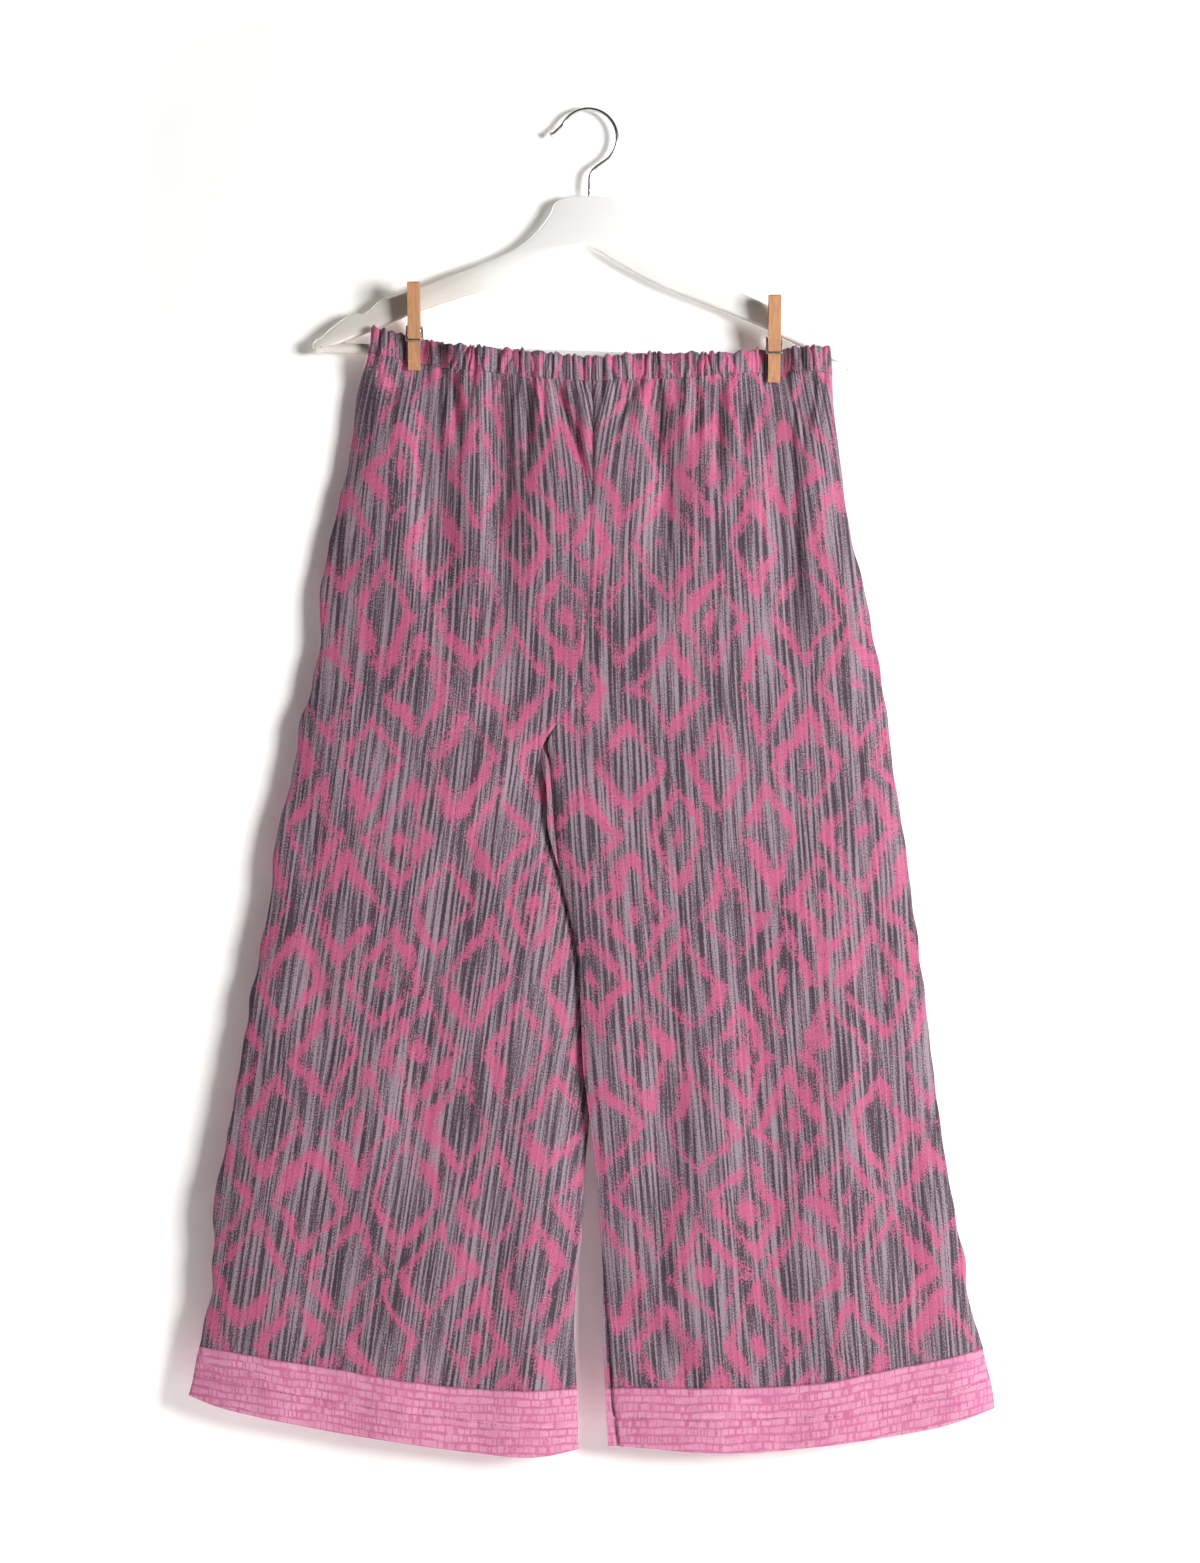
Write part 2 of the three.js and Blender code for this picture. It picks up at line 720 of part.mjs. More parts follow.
function hangerHook() {
  const points = hookWire();
  const knob = new THREE.SphereGeometry(knobRadius, 12, 8).translate(points[0].x, 0, points[0].z);
  return geometryFrom(solidFrom(wireGeometry(points, wireRadius, 8)).add(solidFrom(knob)));
}

// Where the two prongs and the coil of a clothespin lie beside the bar's centre, in y and z
function pinLayout(place) {
  const notchOffset = pin.notchRadius - pin.notchDepth;
  const prong = (facing, lean, tip) => {
    const up = new THREE.Vector2(-Math.sin(lean), Math.cos(lean));
    const across = new THREE.Vector2(Math.cos(lean), Math.sin(lean)).multiplyScalar(facing);
    return { facing, lean, up, across, tip };
  };
  const tipFace = -(barRadius + 2 * clothWall + clampSlack);
  const jawSlope = clothSlope * (pin.tipBelowBar - clothTurnsBelowBar);
  const frontTip = new THREE.Vector2(tipFace + jawSlope, -pin.tipBelowBar);
  const front = prong(-1, THREE.MathUtils.degToRad(place.frontLean), frontTip);
  const rear = prong(1, THREE.MathUtils.degToRad(place.rearLean), new THREE.Vector2());
  rear.tip.addScaledVector(rear.across, notchOffset).addScaledVector(rear.up, -pin.notchAt);
  const faceAt = (side, height) => side.tip.x + ((height - side.tip.y) * side.up.x) / side.up.y;
  const coilY = (faceAt(front, pin.coilAboveBar) + faceAt(rear, pin.coilAboveBar)) / 2;
  const coil = new THREE.Vector2(coilY, pin.coilAboveBar);
  for (const side of [front, rear]) {
    const fromTip = coil.clone().sub(side.tip);
    side.coilAt = fromTip.dot(side.up);
    side.coilAway = -fromTip.dot(side.across);
  }
  return { front, rear, coil };
}

// A prong's side profile: across is the distance from the inner face, up the distance from the tip
function prongGeometry(side) {
  const shape = new THREE.Shape();
  const arc = (centreAcross, centreUp, radius, from, to, steps) => {
    for (let k = 0; k <= steps; k += 1) {
      const angle = THREE.MathUtils.degToRad(from + ((to - from) * k) / steps);
      shape.lineTo(centreAcross + radius * Math.cos(angle), centreUp + radius * Math.sin(angle));
    }
  };
  const hollowArc = (away, up, radius, steps) => {
    const half = THREE.MathUtils.radToDeg(Math.acos(away / radius));
    arc(-away, up, radius, -half, half, steps);
  };
  const outer = pin.thickness;
  const corner = pin.cornerCut;
  shape.moveTo(0, 0);
  hollowArc(pin.notchRadius - pin.notchDepth, pin.notchAt, pin.notchRadius, 8);
  hollowArc(side.coilAway, side.coilAt, pin.coilRadius + seamGap, 4);
  shape.lineTo(0, side.coilAt + pin.handleAboveCoil);
  shape.lineTo(pin.handleThin, pin.length);
  shape.lineTo(outer - corner, pin.length);
  shape.lineTo(outer, pin.length - corner);
  arc(outer, pin.wireGrooveAt, pin.wireRadius + pin.grooveSlack, 90, 270, 4);
  shape.lineTo(outer, pin.jawTaper);
  shape.lineTo(pin.tipThickness, 0);
  const geometry = new THREE.ExtrudeGeometry(shape, { depth: pin.width, bevelEnabled: false });
  geometry.translate(0, 0, -pin.width / 2);
  const axes = new THREE.Matrix4().makeBasis(
    new THREE.Vector3(0, side.facing, 0),
    new THREE.Vector3(0, 0, 1),
    new THREE.Vector3(side.facing, 0, 0),
  );
  return geometry.applyMatrix4(axes);
}

// The spring: a coil between the prongs, and an arm from each end round a prong's outer face
const springArm = { startBack: 0.8, startOut: 1.2, lift: 0.5, besideDepth: 1.1, endDepth: 2.8, standOff: 0.15 };

function springGeometry({ front, rear, coil }) {
  const coilLength = pin.width + 2 * pin.coilOverhang;
  const eyeRadius = pin.coilRadius - 2 * pin.wireRadius;
  const tube = alongX(pin.coilRadius, coilLength, 16).translate(0, coil.x, coil.y);
  const eye = alongX(eyeRadius, coilLength + 2 * pin.coilOverhang, 12).translate(0, coil.x, coil.y);
  let spring = solidFrom(tube).subtract(solidFrom(eye));
  const rim = pin.coilRadius - pin.wireRadius;
  const beside = pin.width / 2 + seamGap + pin.wireRadius;
  const over = pin.width / 2 + seamGap;
  const reach = pin.thickness + springArm.standOff;
  const { startBack, startOut, lift, besideDepth, endDepth } = springArm;
  for (const side of [front, rear]) {
    const onProng = (x, across, up) => {
      const place = side.tip.clone().addScaledVector(side.across, across).addScaledVector(side.up, up);
      return new THREE.Vector3(x * side.facing, place.x, place.y);
    };
    const arm = [
      new THREE.Vector3(beside * side.facing, coil.x - side.facing * startBack, coil.y + rim),
      new THREE.Vector3(beside * side.facing, coil.x + side.facing * startOut, coil.y + rim),
      onProng(beside, reach - besideDepth, pin.wireGrooveAt + lift),
      onProng(over, reach, pin.wireGrooveAt),
      onProng(-over, reach, pin.wireGrooveAt),
      onProng(-beside, reach - besideDepth, pin.wireGrooveAt),
      onProng(-beside, reach - endDepth, pin.wireGrooveAt),
    ];
    spring = spring.add(solidFrom(wireGeometry(arm, pin.wireRadius, 6)));
  }
  return geometryFrom(spring);
}

const part = new THREE.Group();

function addMesh(parent, name, geometry, material) {
  const mesh = new THREE.Mesh(geometry, material);
  mesh.name = name;
  parent.add(mesh);
  return mesh;
}

// The trousers
addMesh(part, "waistband_front", casing("front"), materials.printedCloth);
addMesh(part, "waistband_back", casing("back"), materials.printedCloth);
for (const [name, side] of [["right", -1], ["left", 1]]) {
  for (const layer of ["front", "back"]) {
    addMesh(part, `${name}_${layer}`, legPanel(side, layer), materials.printedCloth);
    addMesh(part, `${name}_hem_${layer}`, hemBand(side, layer), materials.bandCloth);
  }
}

// The hanger hangs tilted, because the garment is clipped a little off its middle
const hanger = new THREE.Group();
hanger.rotation.y = hangerTilt;
const hangerPieces = new THREE.Group();
hangerPieces.position.x = hangerAxisX;
hanger.add(hangerPieces);
part.add(hanger);
addMesh(hangerPieces, "hanger_body", hangerBody(), materials.whitePaint);
addMesh(hangerPieces, "hanger_bar", hangerBar(), materials.whitePaint);
addMesh(hangerPieces, "hanger_hook", hangerHook(), materials.chrome);

// The clothespins hang upright and lean forward over the hanger's arms
for (const place of pinPlaces) {
  const clothespin = new THREE.Group();
  clothespin.position.set(place.x, 0, -barDropAt(place.x));
  part.add(clothespin);
  const layout = pinLayout(place);
  for (const [end, side] of [["front", layout.front], ["rear", layout.rear]]) {
    const prong = addMesh(clothespin, `${place.name}_${end}_prong`, prongGeometry(side), materials.bareWood);
    prong.position.set(0, side.tip.x, side.tip.y);
    prong.rotation.x = side.lean;
  }
  addMesh(clothespin, `${place.name}_spring`, springGeometry(layout), materials.steel);
}

export default part;
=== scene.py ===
# Palazzo pants with a gathered elastic waist, clipped by two clothespins to a wooden hanger.
# Blender works in metres, and the tables below are in millimetres below the hook's seat.
# The front faces -Y. Right and left are the wearer's, so the right leg is at -X.
import math

import bmesh
import bpy
import numpy as np
from mathutils import Matrix, Vector


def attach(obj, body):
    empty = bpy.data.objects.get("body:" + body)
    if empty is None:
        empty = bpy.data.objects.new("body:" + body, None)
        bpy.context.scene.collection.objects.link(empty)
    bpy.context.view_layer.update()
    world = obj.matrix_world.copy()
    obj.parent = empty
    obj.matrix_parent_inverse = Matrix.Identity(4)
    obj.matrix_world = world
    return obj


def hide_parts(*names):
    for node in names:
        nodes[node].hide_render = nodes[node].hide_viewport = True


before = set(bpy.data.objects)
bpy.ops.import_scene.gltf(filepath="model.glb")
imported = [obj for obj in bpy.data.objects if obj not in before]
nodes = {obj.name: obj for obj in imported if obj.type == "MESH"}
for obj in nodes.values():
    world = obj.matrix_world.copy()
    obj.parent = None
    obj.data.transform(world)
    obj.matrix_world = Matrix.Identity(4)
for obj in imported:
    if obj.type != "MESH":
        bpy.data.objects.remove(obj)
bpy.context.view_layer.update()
scene = bpy.context.scene
mm = 0.001
print("frame loaded:", len(nodes), "nodes")

# Camera, square to the wall as in the photograph

photoView = {
    "centre": (9.7, -545.5),  # x and height of the picture's middle
    "distance": 3000,
    "height": 1266,  # what the picture takes in, top to bottom, at the cloth
    "clothDepth": 12,
    "sensor": 24,
}


def makeCamera(view):
    camera = bpy.data.cameras.new("studioCamera")
    camera.sensor_fit = "VERTICAL"
    camera.sensor_height = view["sensor"]
    camera.lens = view["sensor"] * (view["distance"] - view["clothDepth"]) / view["height"]
    camera.clip_start = 0.01
    camera.clip_end = 100
    holder = bpy.data.objects.new("studioCamera", camera)
    x, z = view["centre"]
    place = Matrix.Translation((x * mm, -view["distance"] * mm, z * mm))
    holder.matrix_world = place @ Matrix.Rotation(math.pi / 2, 4, "X")
    scene.collection.objects.link(holder)
    scene.camera = holder


makeCamera(photoView)

# The garment's own shape, from the same sizes as the solids

cut = {
    "clothWall": 1.2,
    "seamGap": 0.3,
    "halfSeam": 0.03,  # from the centre seam to each panel's edge
    "gathersPerPanel": 24,
    "gatherDepth": 1.6,
    "crotchDrop": 520,
    "crotchX": -38.9,
    "legsBegin": (512, 526),
}
# The cloth hangs in front of the bar, and the tips of the arms push it a little further forward
hanger = {
    "tilt": math.radians(1.86),
    "axisX": 3.2,
    "barRadius": 4.35,
    "barDrop": 199.6,
    "clothTurnsBelowBar": 5,
    "clothSlope": math.tan(math.radians(11.8)),
    "clothSlopeReach": 26,
    "leftTip": (158, 170),
    "rightTip": (-160, -172),
    "tipPush": 0.9,
    "tipsPassed": (218, 262),
}
pinPlaces = {"x": (-140.9, 150.7), "tipBelowBar": 16.1, "releaseBelow": 26}
facings = {"front": -1, "back": 1}
sheetWall = 0.6

# Centre seam from the casing down to the crotch
centreSeam = {
    "drop": (190, 222, 275, 340, 391, 430, 458, 476, 496, 511, 520),
    "x": (3.2, 3.2, 4.5, 1.6, 0.6, -3.2, -7.3, -13.8, -23.8, -34, -38.9),
}
# Outer fold of each leg
rightOutline = {
    "drop": (177, 198, 216, 236, 285, 318, 350, 399, 431, 463, 496, 528,
             560, 593, 641, 690, 739, 787, 836, 884, 949, 998, 1044),
    "x": (-175.8, -178.6, -183.9, -188.7, -194.4, -203.3, -210.2, -217.9, -217.9, -223.6, -233.3, -239,
          -245.4, -253.5, -258.8, -268.1, -277.5, -284.3, -294, -303.8, -305.4, -314.3, -325.6),
}
leftOutline = {
    "drop": (193, 212, 236, 285, 350, 382, 447, 480, 544, 609,
             690, 739, 787, 836, 901, 933, 966, 998, 1030, 1055),
    "x": (196.8, 198.2, 199.3, 204.9, 214.7, 222.8, 235.7, 241.4, 249.5, 259.2,
          270, 276.2, 281, 288.4, 298.9, 306.2, 309.4, 318.3, 327.2, 331.3),
}
# Inner fold of each leg below the crotch; the left leg lies in front
leftFold = {
    "drop": (520, 550, 586, 616, 640, 687, 742, 779, 815, 872, 943, 995, 1087),
    "x": (-38.9, -34, -32.4, -24.3, -18.6, -8.1, -4.9, -3.2, 1.6, 8.5, 12.2, 12.2, 16.2),
}
rightFold = {
    "drop": (520, 540, 575, 610, 650, 722, 820, 867, 904, 949, 988, 1022, 1087),
    "x": (-39.5, -36.1, -27, -12, -3.5, 1.6, 0.8, -3.2, -4.1, -8.9, -11.3, -9.7, -7.6),
}
# How far the left front's inseam stands in from the fold
inseamInset = {
    "drop": (500, 511, 522, 550, 586, 616, 640, 950, 1000, 1040, 1087),
    "inset": (0, 2, 6, 4.5, 5.6, 0.6, 0, 0, 4.5, 5, 9),
}
# Top edge of the casing and the seam below it
waistLines = {
    "x": (-178, -152, -128, -104, -79, -55, -31, -6, 18, 42, 91, 115, 139, 172, 198),
    "top": (177.2, 183.1, 188.7, 193.6, 195.2, 197.6, 200.1, 202.5,
            202.5, 200.1, 200.1, 199.3, 196, 194.4, 193.6),
    "seam": (197.9, 203.3, 208, 212.4, 214.7, 217.6, 220, 221.5,
             221.6, 221, 218.5, 215.6, 214, 213, 215.1),
}
# Seam above each hem band, the row of topstitching and the lower edge
hemLines = {
    "x": (-326, -298, -250, -201, -152, -104, -55, -31, 4, 42, 91, 139, 188, 236, 285, 332),
    "seam": (1003.2, 1007, 1014.7, 1022.6, 1031, 1037, 1039.5, 1039.3,
             1038.4, 1037.5, 1037.2, 1036.7, 1033, 1024.2, 1014.5, 1003.5),
    "edge": (1044.1, 1053.8, 1064.3, 1074.1, 1081.4, 1088.6, 1093.5, 1092.7,
             1086.4, 1086.4, 1089.5, 1089.5, 1084.6, 1078.1, 1069.2, 1054.4),
}
stitchLine = {
    "x": (-326, -301.3, -204.1, -132.8, -61.6, -8.9, 25.1, 96.4, 167.7, 214.7, 274.6, 330),
    "drop": (1026, 1030.3, 1049, 1059.5, 1068.4, 1070.8, 1061.9, 1064.3, 1061.1, 1058.7, 1046.5, 1030.2),
}
# Half depth of the hollow between front and back, and the share that swells rearwards
hollow = {
    "drop": (177, 222, 300, 420, 800, 1095),
    "half": (6.4, 6.8, 7.6, 8, 8, 9),
    "rearShare": (0, 0, 0.3, 0.5, 0.5, 0.5),
}
# Troughs that fall from the casing: place, sideways run, depth, half width and length
frontTroughs = {
    "x": (-130, -109, -95, -73.7, -49, -26.7, -12, 38.9, 54.3,
          86.7, 105.3, 127, 156.3, 182.3, -122, -62, 66, 148),
    "lean": (0, 2, -3, 0, 0, 28, 6, -15, 0, 0, 0, 0, 10, -4, 8, -6, -8, 16),
    "depth": (9.5, 5.2, 2.6, 11, 5.4, 7.5, 3.2, 4.6, 9.5, 4.2, 7.5, 5.4, 11, 5, 5.6, 4.6, 4.4, 5.6),
    "width": (6.5, 4.6, 3.5, 6.5, 4.6, 5.2, 3.5, 3.8, 5.6, 4, 5.2, 4.6, 7, 4.6, 13, 12, 11, 13),
    "length": (165, 66, 34, 130, 70, 90, 40, 34, 62, 50, 76, 58, 180, 52, 210, 180, 165, 240),
}
backTroughs = {
    "x": (-150, -112, -81, -44, -15, 31, 68, 96, 133, 168, -95, 110),
    "lean": (3, 0, -4, 6, 0, -6, 0, 4, 0, 5, -4, 6),
    "depth": (6.5, 4.6, 7.5, 4.2, 5.6, 6.2, 4.2, 7.6, 5.4, 6, 2.2, 2.4),
    "width": (5.5, 4.4, 5.5, 4.4, 4.6, 5, 4, 5.5, 4.8, 5, 16, 16),
    "length": (120, 70, 140, 60, 85, 95, 55, 130, 80, 110, 220, 230),
}
# Soft folds, listed one by one: start and end, depth towards the inside (or outwards if negative), half width
frontFolds = {
    "startX": (-189, -196, 20, 36, -45, -20, -15, -48, -236, -120, -60, 225, 120, 60),
    "startDrop": (991, 998, 975, 958, 540, 500, 470, 470, 560, 700, 760, 620, 640, 700),
    "endX": (-141, -146, 92, 110, -130, 60, 95, -120, -215, -160, -75, 262, 150, 64),
    "endDrop": (1016, 1024, 1030, 1012, 640, 600, 545, 520, 760, 980, 1000, 980, 1000, 1000),
    "depth": (-1.6, 1.8, 2.2, -1.5, 1.4, 1.6, 1.3, 1.2, 1.2, 1.4, 1.2, 1.4, 1.3, 1.2),
    "width": (4, 5, 12, 12, 14, 13, 12, 12, 15, 20, 18, 18, 22, 18),
}
backFolds = {
    "startX": (-190, 60, -35, -20, -10, -150, -70, 150, 90, 230),
    "startDrop": (960, 940, 520, 505, 470, 640, 700, 620, 700, 560),
    "endX": (-120, 150, -120, 80, 90, -205, -90, 190, 100, 268),
    "endDrop": (1010, 1015, 600, 590, 520, 980, 990, 1000, 1000, 900),
    "depth": (1.8, 2, 1.6, 1.7, 1.4, 1.5, 1.3, 1.5, 1.2, 1.3),
    "width": (8, 11, 13, 13, 12, 20, 18, 20, 18, 16),
}


# The rows of a table that is written down column by column
def rowsOf(table):
    return [dict(zip(table, values)) for values in zip(*table.values())]


troughs = {"front": rowsOf(frontTroughs), "back": rowsOf(backTroughs)}
softFolds = {"front": rowsOf(frontFolds), "back": rowsOf(backFolds)}


def smooth(low, high, value):
    t = np.clip((value - low) / (high - low), 0, 1)
    return t * t * (3 - 2 * t)


# A column of a table at any place, on a smooth curve through its rows
def read(table, along, column, place):
    knots = np.array(table[along], float)
    values = np.array(table[column], float)
    slopes = np.gradient(values, knots)
    slopes[1:-1] = (values[2:] - values[:-2]) / (knots[2:] - knots[:-2])
    at = np.clip(place, knots[0], knots[-1])
    i = np.clip(np.searchsorted(knots, at) - 1, 0, len(knots) - 2)
    span = knots[i + 1] - knots[i]
    t = (at - knots[i]) / span
    rise = values[i + 1] - values[i]
    bend = (1 - t) * (slopes[i] * span - rise) - t * (slopes[i + 1] * span - rise)
    return values[i] + rise * t + t * (1 - t) * bend


# The side fold is slightly wavy below the casing
sideWave = {
    "begins": (235, 300),
    "run": 11.3,
    "drift": 37,
    "fine": 0.6,
    "fineRun": 5.9,
    "right": 0.75,
    "left": 0.45,
}


def outerX(side, drop):
    look = sideWave
    right = read(rightOutline, "drop", "x", drop)
    left = read(leftOutline, "drop", "x", drop)
    out = np.sin(drop / look["run"] + 2 * np.sin(drop / look["drift"]))
    out = out + look["fine"] * np.sin(drop / look["fineRun"] + side)
    out = out * smooth(*look["begins"], drop)
    return np.where(side < 0, right - look["right"] * out, left + look["left"] * out)


def foldX(side, drop):
    seam = read(centreSeam, "drop", "x", drop)
    fold = np.where(side < 0, read(rightFold, "drop", "x", drop), read(leftFold, "drop", "x", drop))
    return np.where(drop <= cut["crotchDrop"], seam, fold) + side * cut["halfSeam"]


def insetAt(side, drop):
    return np.where(side > 0, read(inseamInset, "drop", "inset", drop), 0)


def waistTop(x):
    return read(waistLines, "x", "top", x)


def waistSeam(x):
    return read(waistLines, "x", "seam", x)


def hemSeam(x):
    return read(hemLines, "x", "seam", x)


def hemEdge(x):
    return read(hemLines, "x", "edge", x)


def barDropAt(x):
    return hanger["barDrop"] / math.cos(hanger["tilt"]) + x * math.tan(hanger["tilt"])


# How freely the cloth swells: 0 under a clothespin, 1 away from it
def clearOfPins(x, drop, reach):
    below = np.maximum(0, drop - barDropAt(x) - pinPlaces["tipBelowBar"]) / pinPlaces["releaseBelow"]
    free = np.ones_like(x)
    for pinX in pinPlaces["x"]:
        free = free * (1 - np.exp(-((x - pinX) / reach) ** 4 - below**2))
    return free


# Inner face of the back where front and back are pressed together
def restY(x, drop):
    fall = np.clip(drop - barDropAt(x) - hanger["clothTurnsBelowBar"], 0, hanger["clothSlopeReach"])
    tips = np.maximum(smooth(*hanger["leftTip"], x), smooth(*hanger["rightTip"], x))
    pushed = hanger["tipPush"] * tips * (1 - smooth(*hanger["tipsPassed"], drop))
    atBar = hanger["barRadius"] + cut["seamGap"] + cut["clothWall"]
    return -atBar + hanger["clothSlope"] * fall - pushed


# A trough's beginning and end, in shares of its length and in millimetres below the casing's seam
troughForm = {
    "early": (-0.25, 0.05),
    "earlyShare": 0.3,
    "begins": (-1, 9),
    "ends": (0.45, 1.3),
    "leanReach": (-0.2, 1.4),
    "roundShare": 0.65,
    "tail": 1.6,
}


def troughDepth(rows, x, drop):
    form = troughForm
    total = np.zeros_like(x)
    for row in rows:
        below = drop - waistSeam(row["x"])
        down = below / row["length"]
        begin = form["earlyShare"] * smooth(*form["early"], down)
        begin = begin + (1 - form["earlyShare"]) * smooth(*form["begins"], below)
        fade = begin * (1 - smooth(*form["ends"], down))
        across = (x - row["x"] - row["lean"] * np.clip(down, *form["leanReach"])) / row["width"]
        crease = form["roundShare"] * np.exp(-across * across)
        crease = crease + (1 - form["roundShare"]) * np.exp(-np.abs(across) / form["tail"])
        total = total + row["depth"] * fade * crease
    return total


# The inner part of the left leg is pushed forward and the right one back, where they overlap
overlap = {"push": 5, "run": 20, "ends": (835, 930), "reach": 45}


def overlapPush(side, fromFold, drop):
    start = cut["crotchDrop"]
    size = overlap["push"] * smooth(start, start + overlap["run"], drop)
    size = size * (1 - smooth(*overlap["ends"], drop))
    return side * size * np.exp(-fromFold / overlap["reach"])


# The size and the rate of each wave that makes the gathers uneven
gatherLook = {
    "spacing": (0.26, 0.93),
    "fineSpacing": (0.17, 2.37),
    "lean": (0.024, 1.31),
    "wander": (0.09, 2.9),
    "wanderRun": 3.1,
    "size": 0.78,
    "uneven": (0.3, 3.4),
    "fineUneven": (0.14, 1.27),
    "roundness": 0.6,
    "split": (0.3, 2.37),
    "splitRate": 1.9,
    "splitFrom": (-0.2, 0.9),
    "shift": {"front": 2.1, "back": 0},
}


# A wave by its size and rate
def wave(look, phase, shift=0):
    size, rate = look
    return size * np.sin(phase * rate + shift)


# Rounded crests where the elastic gathers the cloth: uneven, leaning either way, some of them split
def gatherWave(share, layer, above):
    look = gatherLook
    shift = look["shift"][layer]
    phase = share * cut["gathersPerPanel"]
    ends = np.sqrt(np.clip(np.sin(np.pi * share), 0, 1))
    phase = phase + ends * (wave(look["spacing"], phase, shift) + wave(look["fineSpacing"], phase, 2 * shift))
    lean = above * wave(look["lean"], phase, 2 * shift)
    lean = lean + wave(look["wander"], phase, above / look["wanderRun"])
    phase = phase + ends * lean
    size = look["size"] + wave(look["uneven"], phase, shift) + wave(look["fineUneven"], phase)
    crest = np.abs(np.sin(np.pi * phase)) ** look["roundness"]
    depth, rate = look["split"]
    split = depth * np.abs(np.sin(np.pi * (phase * rate + 0.3)))
    split = split * smooth(*look["splitFrom"], np.sin(phase * look["splitRate"] + shift))
    return 2 * cut["gatherDepth"] * (size * crest + split)


fineFoldLook = {
    "count": 42,
    "from": -172,
    "span": 366,
    "within": (0.15, 0.85),
    "lean": (-7, 7),
    "depth": (0.7, 2.6),
    "width": (1.8, 3.2),
    "length": (18, 85),
}


# Short fine folds between the gathers, from a fixed set of random numbers
def makeFineFolds(seed, look):
    source = np.random.default_rng(seed)
    rows = []
    for k in range(look["count"]):
        row = {"x": look["from"] + look["span"] * (k + source.uniform(*look["within"])) / look["count"]}
        for name in ("lean", "depth", "width", "length"):
            row[name] = source.uniform(*look[name])
        rows.append(row)
    return rows


fineFolds = {"front": makeFineFolds(11, fineFoldLook), "back": makeFineFolds(29, fineFoldLook)}
foldForm = {"begins": (-0.18, 0.25), "ends": (0.7, 1.15), "wander": 0.25, "wanderRate": 7}


def foldDepth(rows, x, drop):
    form = foldForm
    total = np.zeros_like(x)
    for row in rows:
        overX = x - row["startX"]
        overDrop = drop - row["startDrop"]
        runX = row["endX"] - row["startX"]
        runDrop = row["endDrop"] - row["startDrop"]
        length = math.hypot(runX, runDrop)
        along = (overX * runX + overDrop * runDrop) / length**2
        away = (overX * runDrop - overDrop * runX) / length
        wander = form["wander"] * row["width"] * np.sin(along * form["wanderRate"] + row["startX"])
        fade = smooth(*form["begins"], along) * (1 - smooth(*form["ends"], along))
        total = total + row["depth"] * fade * np.exp(-(((away + wander) / row["width"]) ** 2))
    return total


# Slow unevenness over the legs, as cloth has that was folded and then hung; the divisors are its runs
def unevenness(side, x, drop, shift):
    slow = np.sin(x / 23 + drop / 71 + shift) * np.sin(drop / 47 - x / 95 + 2 * shift)
    quick = np.sin(x / 9.5 - drop / 33 + side * 1.7 + shift) * np.sin(drop / 19 + x / 41)
    crumple = np.sin(x / 4.1 + drop / 13 + 2 * np.sin(drop / 41)) * np.sin(drop / 7.7 - x / 23 + shift)
    return shapeLook["slow"] * slow + shapeLook["quick"] * quick + shapeLook["crumple"] * crumple


# A value with Clear is how far a clothespin's hold reaches, and one with Begin or End a run below the casing
shapeLook = {
    "sideSwell": 22,
    "foldSwell": 24,
    "swellClear": 26,
    "flute": 0.16,
    "fluteRun": 17,
    "fluteFrom": (560, 900),
    "foldRound": 2.6,
    "seamGroove": (0.9, 1.3),
    "pucker": 0.3,
    "puckerRun": 5.5,
    "puckerDrift": 13.7,
    "deepest": 0.92,
    "fullRoom": 4,
    "troughStrength": 1.25,
    "fineBegin": (-1, 6),
    "foldStrength": 1.8,
    "slow": 0.7,
    "quick": 0.34,
    "crumple": 0.1,
    "foldsBegin": (3, 30),
    "foldClear": 20,
    "gathersEnd": (0, 26),
    "gatherClear": 13,
    "gatherReach": (-8, 24),
}


# A rounded ridge or groove by its height and half width
def hump(look, away):
    height, width = look
    return height * np.exp(-((away / width) ** 2))


